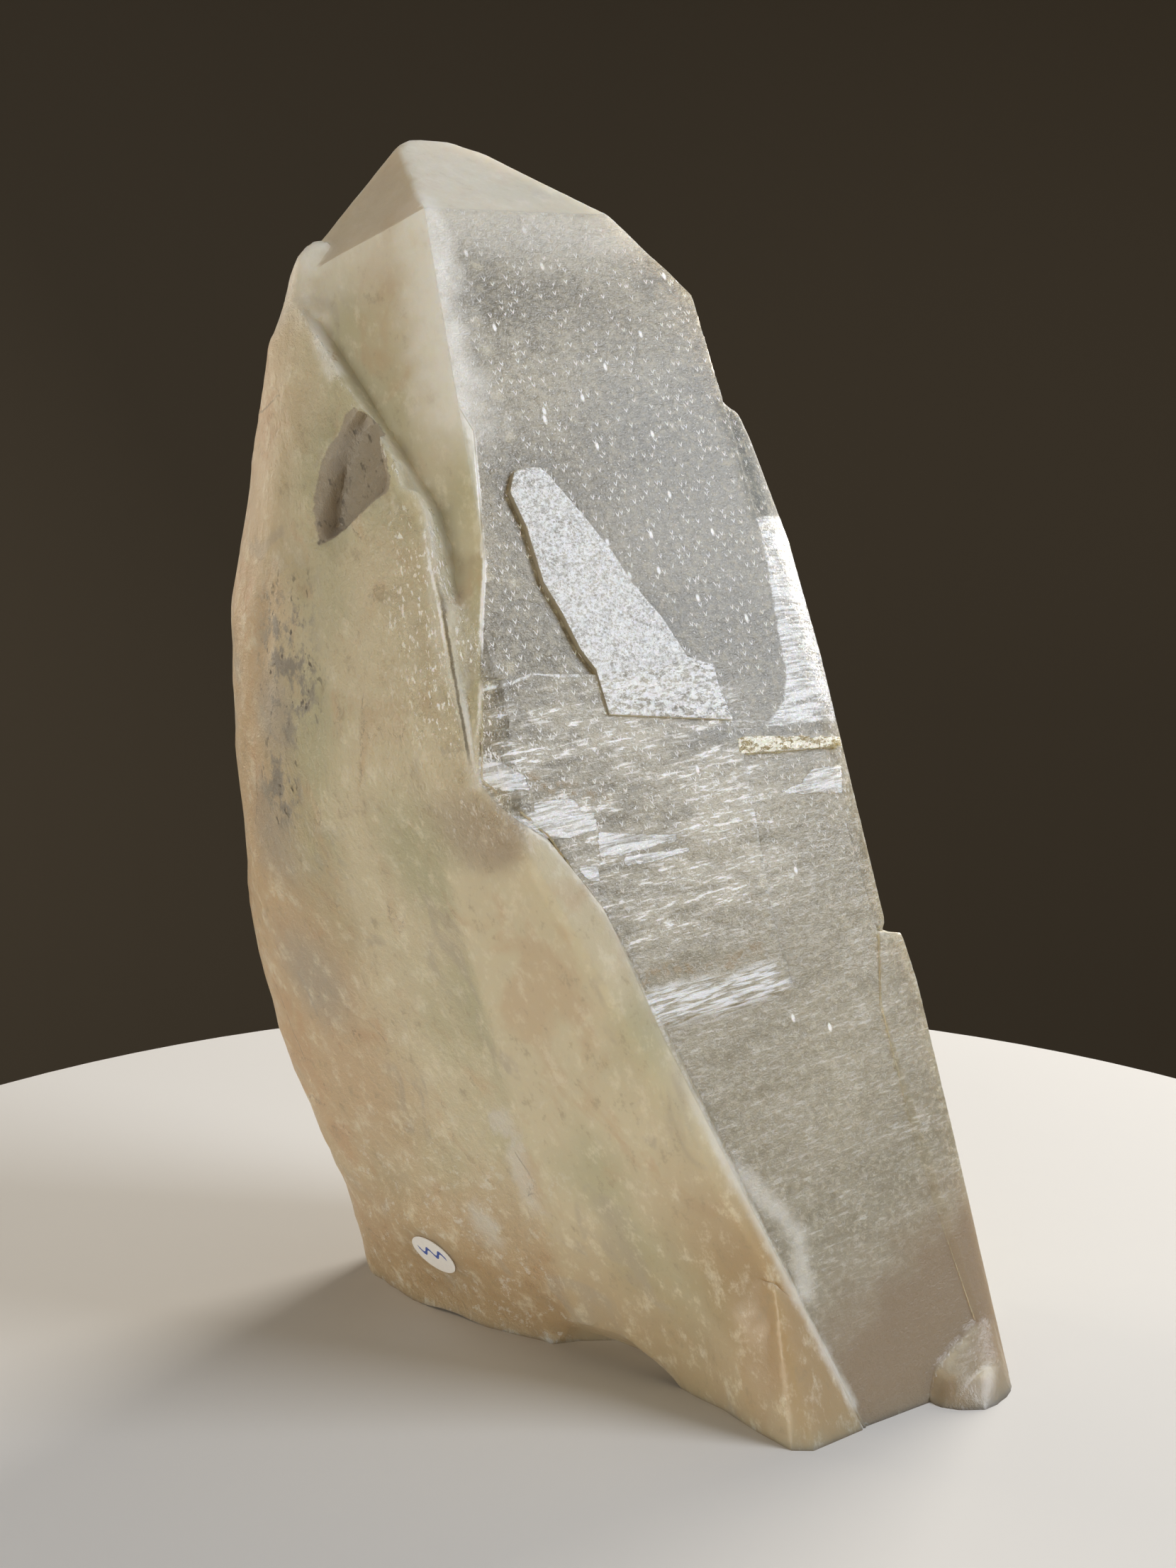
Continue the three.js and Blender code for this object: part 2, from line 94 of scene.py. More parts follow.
# Outlines on the front face, in U and W.
TONGUE = [
    (-14.1, 133.2), (-13, 128), (-12.7, 120), (-11.1, 115.4), (-9.8, 110.1), (-8.2, 107),
    (-8, 100.5), (12.6, 96.7), (11.7, 101.5), (11.9, 105.1), (7.7, 106.8), (5.3, 112.9),
    (1.7, 118.6), (-0.2, 123.5), (-3.6, 129.6), (-7.4, 135.6), (-8.2, 136.5), (-11.2, 136.5),
    (-12.6, 136),
]
SIDE_STRIP = [
    (28.2, 126.5), (28.4, 125.1), (27.6, 117.7), (25.8, 106.7), (25.5, 102.3), (23.3, 98.2),
    (18.8, 95), (33, 94), (38, 96), (42, 110), (42, 128),
]
# Where a painted bluish sheen lies on the right.
SHEEN = [(27.6, 145.4), (28.1, 134.7), (28.1, 126.7), (40, 126), (40, 146)]
# Where the front face begins on its left, above the ridge.
FRONT_LEFT = [
    (-29.8, 95.6), (-27.5, 102.7), (-24.1, 113), (-20.5, 123.6), (-18.2, 134.6), (-16.6, 142.5),
    (-17.9, 146), (-18, 152.3), (-16.6, 163.8), (-15.1, 175.4),
]
GOLD_BAND = [(12.4, 94.3), (22, 93), (31.7, 91.3), (31.6, 89.9), (22, 90.7), (12.6, 91.7)]
LEDGES = [
    [(-29, 98.2), (-23.4, 94.6), (-23.3, 92.5), (-26, 92.7), (-30.2, 94.2)],
    [(-23.3, 90.9), (-16.8, 90.1), (-16.3, 87.9), (-14.4, 87.8), (-14.6, 85.4), (-19.5, 85.2),
     (-22.9, 86.1), (-26.9, 89.3), (-23.3, 89.5)],
    [(-14.6, 85.2), (-11.9, 84.6), (-6.9, 83.4), (-2.6, 82.5), (-2.4, 81.7), (-4.9, 81.6),
     (-12.2, 81.5), (-15.6, 81.8)],
    [(-11.5, 81.2), (0, 80.3), (-0.7, 79.9), (-8.7, 79.6), (-11.9, 79.9)],
    [(-19.5, 81.4), (-16.2, 81), (-16.3, 78.6), (-17.8, 79)],
    [(25.3, 87.6), (31.2, 86.9), (29.7, 83.1), (22.1, 84.1), (17.9, 85.2), (22.3, 85.9)],
]
BANDED_PATCH = [
    (-15.4, 63.3), (8, 61.7), (9.2, 60), (10.2, 58.1), (5.5, 57.2), (-14.4, 58.2), (-15.2, 61.6),
]
# The low corner of the front face: smooth, and painted darker as shade.
SMOOTH_CORNER = [(-6.5, 14.5), (36, 26), (42, -40), (-14, -40)]
IRON_LINES = [
    [(-22.9, 93.9), (-19.8, 92.4), (-15.7, 91), (-11.9, 89.4)],
    [(-14.5, 64.8), (-12, 65.4), (-7.7, 65), (-4.8, 63.8), (-0.3, 63.6), (6.1, 64.8)],
]
STEP_LINE = [(-25.9, 106.6), (-21.7, 106.9), (-17.8, 107.8), (-14, 106.9), (-8.2, 106.2)]
FOOT_WISPS = [(-7.1, 37.5), (-2.6, 30.8), (-0.2, 25.8), (-2.1, 19)]
CREAM_BITS = [
    (-20.6, 121.9), (-16.8, 120.5), (-20.8, 109.3), (-25.1, 107.1), (-11.5, 89.2), (-8.9, 167),
    (-11.4, 158.6), (-11.4, 147.6), (-14.4, 146), (-11.2, 141.4), (10.2, 73.2), (-10.8, 154.3),
]
# The largest etch pits of the front face, drop-shaped.
DROPS = [
    (0.8, 172.8), (16.4, 156.5), (-4.3, 145), (-4.6, 143.8), (3, 139.4), (13.3, 131.3),
    (8.3, 151.4), (2.8, 146.8), (-8.7, 157.7), (-10, 169), (24, 165.9), (2.2, 167.2), (8, 125.5),
    (0.1, 125), (2.3, 119.8), (7.6, 120.1), (13.1, 115.3), (20.9, 111.4), (19.2, 125),
    (13.3, 140.7), (4.2, 90.8), (8.9, 53.9), (14.8, 51.1), (16.7, 73.7),
]
CREST = [
    (-28.7, 16.6, 168.4), (-28.1, 13, 157.6), (-27, 7.9, 145.3), (-25.7, 2.7, 132.9),
    (-28.7, 3.3, 114.3), (-28.9, 0.7, 102), (-30.2, 0.2, 94.6),
]
RIDGE = [
    (-30.2, 0.3, 94.6), (-27.6, -0.6, 90), (-22.2, -1, 84.7), (-17.6, -1.2, 75.5), (-14, -1, 57.4),
    (-8, -0.8, 34.6), (-3.3, -0.5, 17.4), (0.6, -0.3, 3.4),
]
CRACK = [
    (-25.9, 2.9, 132.7), (-26.3, 2.5, 128.4), (-26.9, 2.3, 123.4), (-27.4, 1.8, 118.3),
    (-28, 1.7, 114), (-28.7, 1.4, 109.1), (-29.4, 1.1, 103.2), (-30, 0.8, 98.5),
]
# the tip face that is turned from the light, painted darker as shade
SHADED_TIP_OUT = (-0.7, -0.4, 0.6)
BEVEL = [(-26.2, 17.2, 168.1), (-28, 14.3, 162.4), (-28.1, 13, 158.2)]
KNOB = (-24.5, 17, 177.5)
PIT_MIDDLE = (-30.2, 12, 142.5)
SMALL_PIT_IN_VW = [
    (6.1, 144.8), (5.1, 144.3), (4.3, 142.7), (3.1, 140), (1.8, 137.6), (1.7, 136.4), (2.2, 135),
    (4.6, 136.5), (5.5, 137.5),
]
PIT_IN_VW = [
    (9.3, 151.9), (7.1, 148.7), (7, 142.6), (6.8, 139.1), (7.1, 137.4), (10.5, 135.3),
    (13.8, 134.6), (17.6, 134), (17.3, 137), (17, 141.2), (15.6, 145.7), (12.3, 150.8),
]
# Clouds under the broken flank: middle in U, V and W, and radius.
OLIVE_CLOUDS = [(-33.8, 13.2, 87.8, 9), (-28.1, 16.5, 65.1, 10), (-24.5, 16.9, 54.1, 9)]
GREY_CLOUDS = [(-45.3, 34.9, 98.3, 7), (-41.4, 42, 77.3, 8), (-42.5, 29, 114, 6)]
WHITE_CLOUDS = [(-26.6, 24.8, 49.7, 3), (-23.3, 24, 42, 8), (-26.3, 37.8, 36.2, 4)]
# The chipped lip of the foot, on the right.
FOOT_CHIP = [(13, 2.4), (22, -0.5), (31, 6), (40, 8), (40, -12), (12, -12)]
LABEL_AT = (-29.63, 51.04, 32.51)
LABEL_OUT = (-0.855, -0.078, -0.512)
LABEL_RADIUS = 4.0
PROBE_FROM = 8  # how far off the flank the label's height over it is measured from
PEN_HALF_WIDTH = 0.42  # measured upright, so that it is thinner where the line is steep

TIP_W = 175.7  # where the long faces end and those of the tip begin
# Faces of the main crystal: turn about the axis, rise towards the tip, and a point on each.
MAIN_FACES = [
    (0, 0, (0, 0, 0)), (60, 5.2, (-14.8, 0, TIP_W)), (120, 0, (-36.5, 0, 0)),
    (180, 0, (0, 62, 0)), (240, 0, (57, 0, 0)), (300, 0, (28.4, 0, 0)),
    (0, 38.2, (-14.8, 0, TIP_W)), (60, 38.2, (-14.8, 0, TIP_W)), (300, 38.2, (16.8, 0, TIP_W)),
    (120, 47, (-0.7, 18.2, 199)), (180, 38.2, (4, 17.5, 198.2)), (240, 38.2, (4, 17.5, 198.2)),
]

# How long the mesh's edges may be, in millimetres, by where they are.
BACK_STEP, FLANK_STEP, RIM_STEP, BASE_STEP = 4.0, 1.8, 0.7, 6.0
# Rounds of splitting: how many times the wished length, and how flat the surface has to be
# across an edge, in degrees, for the edge to be turned.
MESH_ROUNDS = ((8, 2), (5, 2), (3, 3), (2, 4), (1.4, 6), (1, 8))
MOST_SPLITS = 12  # an edge could be split for ever where the wished length changes fast

QUARTZ_IOR = 1.544

# The studio, in metres and watts.
CAMERA_AT = (-0.002823, -0.239883, 0.1105)
LIT_POINT = (0.0, 0.0, 0.085)
LIGHTS = [  # name, place, width, height, power and colour
    ("window_right", (0.8, -0.18, 0.62), 0.4, 0.4, 7.0, "#f4f8ff"),
    ("window_back", (0.5, 0.75, 0.5), 0.45, 0.45, 10.0, "#fff6e8"),
    ("panel_left_back", (-0.8, 0.5, 0.35), 0.4, 0.5, 2.5, "#fff0dc"),
    ("panel_low_front", (-0.55, -0.85, 0.1), 0.8, 0.35, 6.7, "#fff5e4"),
    ("panel_top", (0.15, 0.1, 1.05), 0.8, 0.8, 1.5, "#ffffff"),
]


# ---- numbers over many points ----


def rows(*columns):
    return np.stack(columns, 1)


def length(vectors):
    return np.linalg.norm(vectors, axis=1)


def smooth(low, high, x):
    """0 at low, 1 at high, and a smooth step between; low may be above high."""
    t = np.clip((x - low) / (high - low), 0, 1)
    return t * t * (3 - 2 * t)


# Large numbers that mix a cell's place and the seed into bits that look random.
HASH_PLACE, HASH_SEED, HASH_LAST = np.array([73856093, 19349663, 83492791]), 40503, 1274126177


def noise(points, size, seed):
    """Gradient noise from about -1 to 1, with waves of about the given size."""
    q = points / size + 31.7 * (seed + 1)
    cell = np.floor(q).astype(np.int64)
    part = q - cell
    fade = part**3 * (part * (part * 6 - 15) + 10)
    total = np.zeros(len(q))
    for corner in np.ndindex(2, 2, 2):
        at = cell + corner
        mix = np.bitwise_xor.reduce(at * HASH_PLACE, axis=1) ^ (seed * HASH_SEED)
        mix = ((mix ^ (mix >> 13)) * HASH_LAST) & 0x7FFFFFFF
        mix ^= mix >> 15
        slope = rows(*[(mix >> shift) & 1023 for shift in (0, 10, 20)]) / 511.5 - 1
        weight = np.prod(np.where(corner, fade, 1 - fade), 1)
        total += weight * ((part - corner) * slope).sum(1)
    return total * 1.3


def fractal(points, size, seed, octaves=3):
    return sum(noise(points, size / 2**k, seed + k) / 2**k for k in range(octaves)) / 1.5


def to_line(points, line):
    """Distance from each point to a broken line."""
    line = np.array(line, float)
    best = np.full(len(points), 1e9)
    for a, b in zip(line[:-1], line[1:]):
        t = np.clip(((points - a) @ (b - a)) / ((b - a) @ (b - a)), 0, 1)
        best = np.minimum(best, length(points - a - t[:, None] * (b - a)))
    return best


def outline_mm(points, outline):
    """Distance from each point to a closed outline, below zero inside it."""
    ring = np.array([*outline, outline[0]], float)
    away = to_line(points, ring)
    inside = np.zeros(len(points), bool)
    x, y = points.T
    for (ax, ay), (bx, by) in zip(ring[:-1], ring[1:]):
        crosses = (ay > y) != (by > y)
        with np.errstate(divide="ignore", invalid="ignore"):
            inside ^= crosses & (x < (bx - ax) * (y - ay) / (by - ay) + ax)
    return np.where(inside, -away, away)


def in_outline(points, outline, edge):
    """1 inside a closed outline, falling to 0 over the width of its edge."""
    return smooth(edge, -edge, outline_mm(points, outline))


def near_clouds(own, clouds):
    """1 in the middle of any of the clouds, drawn out along the axis, and 0 beyond it."""
    return np.max([
        smooth(radius, 0.25 * radius, length((own - middle) * [1, 1, 0.6]))
        for *middle, radius in clouds
    ], axis=0)


def beyond_main(own):
    """How far each point stands outside the main crystal's own faces."""
    out = np.full(len(own), -1e9)
    for turn, rise, point in MAIN_FACES:
        t, r = np.radians([turn, rise])
        normal = np.array([-np.sin(t) * np.cos(r), -np.cos(t) * np.cos(r), np.sin(r)])
        out = np.maximum(out, (own - point) @ normal)
    return out


# ---- meshes ----


def edges_of(faces):
    """Each edge once, as its two points, and which edge each side of each face is."""
    ends = np.sort(faces[:, [[0, 1], [1, 2], [2, 0]]].reshape(-1, 2), axis=1)
    keys, which = np.unique(ends[:, 0] * 2**32 + ends[:, 1], return_inverse=True)
    return rows(keys // 2**32, keys % 2**32), which.reshape(-1, 3)


def split_long_edges(points, faces, limit):
    """Halves the edges longer than limit(middle), alike on both their sides."""
    for _ in range(MOST_SPLITS):
        edges, which = edges_of(faces)
        a, b = points[edges[:, 0]], points[edges[:, 1]]
        split = length(a - b) > limit((a + b) / 2)
        if not split.any():
            break
        number = np.where(split, np.cumsum(split) - 1 + len(points), -1)
        middle = number[which]
        points = np.vstack([points, ((a + b) / 2)[split]])
        count = (middle >= 0).sum(1)
        done = [faces[count == 0]]
        # turn each face so that one split edge comes first, or the one unsplit edge second
        first = np.where(count == 1, (middle >= 0).argmax(1), 0)
        first = np.where(count == 2, ((middle < 0).argmax(1) + 2) % 3, first)
        order = (first[:, None] + np.arange(3)) % 3
        f = np.take_along_axis(faces, order, 1)
        m = np.take_along_axis(middle, order, 1)
        (p, q, r), pq = f[count == 1].T, m[count == 1, 0]
        done += [rows(p, pq, r), rows(pq, q, r)]
        (p, q, r), (pq, _, rp) = f[count == 2].T, m[count == 2].T
        short = (length(points[pq] - points[r]) < length(points[rp] - points[q]))[:, None]
        done += [
            rows(p, pq, rp), np.where(short, rows(pq, q, r), rows(pq, q, rp)),
            np.where(short, rows(pq, r, rp), rows(q, r, rp)),
        ]
        (p, q, r), (pq, qr, rp) = f[count == 3].T, m[count == 3].T
        done += [rows(*s) for s in ((p, pq, rp), (pq, q, qr), (rp, qr, r), (pq, qr, rp))]
        faces = np.vstack(done)
    return points, faces


def turn_edges(points, faces, flat_deg):
    """Turns the edges between nearly level triangles, so that few stay long and thin."""
    mesh = bpy.data.meshes.new("turning")
    mesh.from_pydata(points.tolist(), [], faces.tolist())
    surface = bmesh.new()
    surface.from_mesh(mesh)
    bpy.data.meshes.remove(mesh)
    flat = np.radians(flat_deg)
    level = [e for e in surface.edges if e.is_manifold and e.calc_face_angle() < flat]
    bmesh.ops.beautify_fill(surface, faces=surface.faces[:], edges=level, method="ANGLE")
    faces = np.array([[v.index for v in f.verts] for f in surface.faces])
    surface.free()
    return faces


def relax(points, edges, freedom, rounds):
    """Rounds a surface: each point moves towards its neighbours as far as it is free to."""
    a, b = edges.T
    number = len(points)
    near = np.bincount(edges.ravel(), minlength=number)
    points = points.copy()
    for _ in range(rounds):
        for k in range(3):
            total = np.bincount(a, points[b, k], number) + np.bincount(b, points[a, k], number)
            points[:, k] += freedom * (total / near - points[:, k])
    return points


def unit(vectors):
    return vectors / np.maximum(length(vectors), 1e-12)[:, None]


def face_normals(points, faces):
    """Each face's normal, as long as twice its area."""
    corners = points[faces]
    return np.cross(corners[:, 1] - corners[:, 0], corners[:, 2] - corners[:, 0])


def vertex_normals(points, faces):
    flat = face_normals(points, faces)
    total = [
        sum(np.bincount(faces[:, i], flat[:, k], len(points)) for i in range(3)) for k in range(3)
    ]
    return unit(np.stack(total, 1))


def new_object(name, data):
    made = bpy.data.objects.new(name, data)
    bpy.context.scene.collection.objects.link(made)
    return made


def mesh_object(name, points_mm, faces, material, sharp_deg):
    mesh = bpy.data.meshes.new(name)
    mesh.from_pydata((points_mm * MM).tolist(), [], np.array(faces).tolist())
    mesh.materials.append(material)
    mesh.shade_smooth()
    mesh.set_sharp_from_angle(angle=np.radians(sharp_deg))
    mesh.update()
    return new_object(name, mesh)


def store(mesh, name, values, domain="POINT"):
    """Keeps one value or one triple per point or face of the mesh, for its material to read."""
    kind, field = ("FLOAT", "value") if values.ndim == 1 else ("FLOAT_VECTOR", "vector")
    attribute = mesh.attributes.new(name, kind, domain)
    attribute.data.foreach_set(field, np.ascontiguousarray(values, np.float32).ravel())


# ---- materials ----


def linear(colour):
    """An sRGB hex colour as linear red, green, blue and a full alpha."""
    values = [int(colour[i : i + 2], 16) / 255 for i in (1, 3, 5)]
    return [v / 12.92 if v <= 0.04045 else ((v + 0.055) / 1.055) ** 2.4 for v in values] + [1.0]


def add(tree, kind, **sets):
    """Adds a ShaderNode of a kind. A setting named in_X sets or links input X, and any other
    is a property of the node."""
    node = tree.nodes.new("ShaderNode" + kind)
    for name in [n for n in sets if not n.startswith("in_")]:
        setattr(node, name, sets.pop(name))
    for name, value in sets.items():
        key = name[3:]
        socket = node.inputs[int(key) if key.isdigit() else key.replace("_", " ")]
        if isinstance(value, bpy.types.Node):
            value = value.outputs[0]
        if isinstance(value, bpy.types.NodeSocket):
            tree.links.new(value, socket)
        else:
            socket.default_value = value
    return node


def new_material(name):
    """An empty material, and the function that adds a node to it."""
    material = bpy.data.materials.new(name)
    material.use_nodes = True
    material.node_tree.nodes.clear()
    return material, partial(add, material.node_tree)


def calculate(node, operation, a, b=0.0, c=0.0, clamp=False):
    return node("Math", operation=operation, use_clamp=clamp, in_0=a, in_1=b, in_2=c)


def mix(node, amount, under, over):
    return node("Mix", data_type="RGBA", in_0=amount, in_6=under, in_7=over).outputs[2]


def milky_quartz(settings):
    """Milky quartz, grown and broken: cloudy and warm where light gets deep into it, smoky and a
    little see-through under the front face, which is etched and glitters. Its colour also holds
    painted light: warm light and shade on the mass, and painted highlights, glints and sheen on the
    front face."""
    material, node = new_material("milky quartz, etched crystal faces")
    math, tint = partial(calculate, node), partial(mix, node)
    own = node("Attribute", attribute_name="own_mm").outputs["Vector"]

    def zone(name):
        return node("Attribute", attribute_name=name).outputs["Fac"]

    def vector(operation, a, **more):
        return node("VectorMath", operation=operation, in_0=a, **more)

    def times(*values):
        return reduce(partial(math, "MULTIPLY"), values)

    def most(*values):
        return reduce(partial(math, "MAXIMUM"), values)

    def without(value):
        return math("SUBTRACT", 1.0, value)

    def line(value, slope, start, clamp=False):
        return math("MULTIPLY_ADD", value, slope, start, clamp)

    def scaled(size_mm, stretch=(1, 1, 1), shift=0.0):
        """Places measured in the size of one cloud or grain, which may be stretched."""
        scale = [1 / (size_mm * s) for s in stretch]
        return node("Mapping", in_Vector=own, in_Location=[shift] * 3, in_Scale=scale)

    def cloud(size_mm, detail=3.0, rough=0.55, stretch=(1, 1, 1), shift=0.0, twist=0.0):
        return node(
            "TexNoise", in_Vector=scaled(size_mm, stretch, shift), in_Scale=1.0, in_Detail=detail,
            in_Roughness=rough, in_Distortion=twist,
        ).outputs["Fac"]

    def cells(where, **more):
        return node("TexVoronoi", in_Vector=where, in_Scale=1.0, **more).outputs

    def band(value, low, high):
        """The same as smooth(), drawn in the shader."""
        return node(
            "MapRange", interpolation_type="SMOOTHSTEP", clamp=True,
            in_Value=value, in_1=low, in_2=high,
        )

    def paint(name):
        """The linear colour of a setting, or of a hex colour given as it is."""
        return linear(getattr(settings, name, name))

    def lay(name, *amounts):
        """Lays one colour over what is there, as much as the amounts say together."""
        nonlocal colour
        colour = tint(times(*amounts), colour, paint(name))

    front = band(zone("front"), 0.35, 0.65)
    fray = line(cloud(1.4, 3, 0.7, (1.8, 1, 0.7), 21.0), 2.4, -1.2)

    def patch(name, edge, ragged=0.0):
        """Where an outline on the front face encloses: its edge's width, and how ragged."""
        return times(front, band(line(fray, ragged, zone(name)), edge, -edge))

    # -- the broken mass: cream, with olive, peach, rosy and grey clouds a few mm to 2 cm wide; its colour also holds painted warm light where it is thin or curls under, and painted shade low down and in its hollows
    drift = cloud(22, 2, 0.5, (1, 1, 1.5), 3.1)
    blot = cloud(8.5, 3, 0.62, (1, 1, 1.7), 9.4, 0.8)
    wisp = cloud(2.8, 5, 0.74, (1, 1, 1.5), 5.3)
    colour = paint("cream")
    lay("olive", most(band(drift, 0.44, 0.66), zone("olive")))
    lay("rosy", zone("rosy"), 0.8)
    # peach: random clouds, and painted warm light on the thin and low parts
    lay("peach_and_warm_light", math("ADD", zone("peach_and_warm_light"), times(band(blot, 0.52, 0.7), 0.45), clamp=True))
    # painted shade: darker brown low down near the base and by the low ridge
    lay("low_shade", zone("low_shade"), 0.85)
    greyed = times(band(blot, 0.42, 0.3), 0.5)
    lay("mist", math("ADD", greyed, times(zone("grey"), 0.8), clamp=True))
    lay("pale", band(wisp, 0.5, 0.7), 0.55)
    # painted shade: the hollows of the small relief made darker
    lay("hollow_shade", band(wisp, 0.44, 0.3), 0.45)
    # small chalky flecks, most of them low on the left, and the larger white clouds there
    fleck = band(cloud(2.4, 4, 0.8, shift=6.6), 0.57, 0.64)
    lay("white", fleck, zone("fleck"), 0.5)
    lay("mist_white", zone("pale_patch"), 0.75)

    # -- under the front face: smoky grey, cooler in the middle, with darker clouds
    smoke = band(cloud(13, 4, 0.66, (1.3, 1, 0.9), 5.5), 0.36, 0.66)
    smoky = tint(times(smoke, zone("lively")), paint("grey"), paint("smoke"))
    smoky = tint(times(zone("cool"), 0.6), smoky, paint("cool"))
    colour = tint(front, colour, smoky)
    # painted shade: the low corner and the chipped foot made darker
    lay("corner", zone("corner"))
    lay("white", zone("milk"), line(wisp, 0.9, 0.5, clamp=True))
    # painted bluish sheen on the right, over the side strip
    lay("sheen", front, zone("sheen"))
    # painted shade on the tip face turned from the light
    lay("shaded_tip", zone("shaded_tip"), 0.5)

    # -- the etched face: glints, V-shaped pits and drops painted white as highlights, all a little coarser than the real ones so that they show, most of them high on the face; frosty level streaks in the lower half
    mottle = cloud(1.1, 3, 0.78, (1.2, 1, 0.9), 2.2)
    unevenness = math("SUBTRACT", mottle, 0.5)
    etched = times(front, without(most(zone("milk"), zone("corner"))))
    density = band(cloud(6, 2, 0.65, (2.2, 1, 0.5), 30.0), 0.36, 0.6)
    lay("flake", etched, band(line(unevenness, 6.0, zone("bit_mm")), 0.25, -0.25), 0.75)
    frosty = times(zone("streak"), density, 0.55)
    lay("pale", etched, most(frosty, times(band(mottle, 0.46, 0.66), 0.45)))
    lay("shade", etched, band(mottle, 0.5, 0.34), line(zone("lively"), 0.3, 0.05))
    # each cell of a flat pattern can hold one pit, shaped like a V that points down
    flat_way = scaled(2.1, (0.8, 1e6, 1), 0.3)
    pits = cells(flat_way)
    inwards = node("SeparateXYZ", in_0=vector("SUBTRACT", flat_way, in_1=pits["Position"]))
    aside = math("ABSOLUTE", inwards.outputs[0])
    off_vee = math("ABSOLUTE", line(aside, -1.5, math("ADD", inwards.outputs[2], 0.14)))
    has_pit = math("GREATER_THAN", node("SeparateColor", in_0=pits["Color"]).outputs[1], 0.45)
    vee = times(band(off_vee, 0.1, 0.04), band(aside, 0.2, 0.15), has_pit)
    glint = band(cloud(0.34, 1, 0.6, (1, 1, 0.8), 40.0), 0.63, 0.7)
    streaks = band(cloud(0.42, 3, 0.68, (6, 6, 1), 12.0), 0.51, 0.63)
    glints_and_frost = times(most(times(vee, 0.8), times(glint, 0.6)), zone("lively"))
    glints_and_frost = most(glints_and_frost, times(streaks, density, zone("streak")))
    glints_and_frost = times(etched, most(glints_and_frost, band(zone("drop_mm"), 0.12, -0.12)))
    # painted highlights in white, and the frosty streaks
    lay("#ffffff", glints_and_frost)

    # -- its bright growth layers, whose brightness is painted sheen and glitter: glitter on the tongue and its foot, a rippled strip on the right, lined ledges, and a honeycomb band
    lines = cloud(0.5, 3, 0.66, (12, 12, 1), 1.0, 0.6)
    lined = band(lines, 0.42, 0.56)
    sparkle = cloud(0.36, 2, 0.75, (1.1, 1, 0.9), 50.0)
    flakes = cloud(0.85, 3, 0.7, (1.7, 1, 0.8), 60.0)
    tongue, strip = patch("tongue_mm", 0.1), patch("strip_mm", 0.25, 0.6)
    ledge, gold = patch("ledge_mm", 0.1, 0.5), patch("gold_mm", 0.12, 0.8)
    foot = zone("tongue_foot")
    fine_glitter = times(line(band(sparkle, 0.36, 0.58), 0.55, 0.42), without(foot))
    coarse_glitter = times(line(band(flakes, 0.43, 0.55), 0.8, 0.2), foot)
    glitter = math("ADD", fine_glitter, coarse_glitter)
    glitter = times(glitter, line(band(mottle, 0.3, 0.55), 0.35, 0.65))
    banded = times(etched, zone("banded"), lined)
    step = times(front, band(zone("step_mm"), 0.3, 0.1), band(wisp, 0.44, 0.54))
    silver_sheen = most(
        times(tongue, glitter), times(strip, line(lined, 0.6, 0.3)),
        times(ledge, line(lined, 0.6, 0.4)), times(most(banded, step), 0.85),
    )
    # painted sheen and glitter in silver
    lay("silver_sheen", silver_sheen)
    # painted glints: the bright spots of the honeycomb band, over its own colour
    band_glints = times(gold, band(flakes, 0.44, 0.52))
    lay("honeycomb", gold)
    lay("gold", band_glints)
    gloss = most(most(tongue, times(strip, 0.5)), most(ledge, gold))
    # painted shade on the side of the thick layer
    lay("wall", zone("wall"), 0.8)

    # -- iron stain in the growth steps, grey smudges on the mass, and the grey broken recess
    lay("iron", zone("iron"), band(mottle, 0.46, 0.6), 0.8)
    lay("dust", zone("dusty"), band(wisp, 0.46, 0.6), 0.9)
    recess = band(line(fray, 0.4, zone("recess_mm")), 0.15, -0.15)
    lay("recess", recess, 0.85)
    speck = band(cloud(1.2, 2, 0.7, (1, 1, 1.8), 18.0), 0.6, 0.7)
    lay("dark_speck", speck, most(zone("dusty"), times(recess, 0.7)))
    # hair cracks, most of them short, and the long one that follows the crest
    twist = node("CombineXYZ", in_0=wisp, in_2=wisp)
    bent = vector("ADD", scaled(9, (1, 1, 1.2), 2.0), in_1=twist)
    hair = band(cells(bent, feature="DISTANCE_TO_EDGE")["Distance"], 0.012, 0.005)
    lay("dark_speck", hair, band(blot, 0.56, 0.62), zone("flank"), 0.4)
    shaky = line(fray, 0.25, zone("crack_mm"))
    lay("crack", band(math("ABSOLUTE", shaky), 0.32, 0.1), zone("crack_depth"), 0.75)
    # painted highlights: bright lines left of that crack and where the front face begins, and
    # glints along the wet crest
    highlight_lines = band(math("ABSOLUTE", math("ADD", shaky, 0.6)), 0.35, 0.12)
    highlight_lines = times(highlight_lines, zone("crack_highlight"), band(wisp, 0.38, 0.5))
    seam = band(math("ABSOLUTE", line(fray, 0.2, zone("seam_mm"))), 0.4, 0.15)
    seam = times(seam, zone("seam_highlight"), band(blot, 0.4, 0.52))
    wet_glints = times(zone("wet"), band(cloud(0.5, 2, 0.65, (1, 1, 2.6), 44.0), 0.57, 0.65))
    highlight_lines = most(highlight_lines, seam, wet_glints)
    # painted highlights in white
    lay("#ffffff", highlight_lines, 0.85)

    # -- relief too fine for the mesh, in millimetres
    level = times(lines, line(most(ledge, zone("banded")), 0.22, 0.02))
    grains = times(sparkle, line(gloss, 0.08, 0.05))
    face_relief = times(front, math("ADD", level, line(mottle, 0.12, grains)))
    broken = times(line(zone("flank"), 0.85, 0.1), wisp, 0.8)
    height = math("ADD", math("ADD", face_relief, broken), times(zone("wet"), wisp, 0.6))
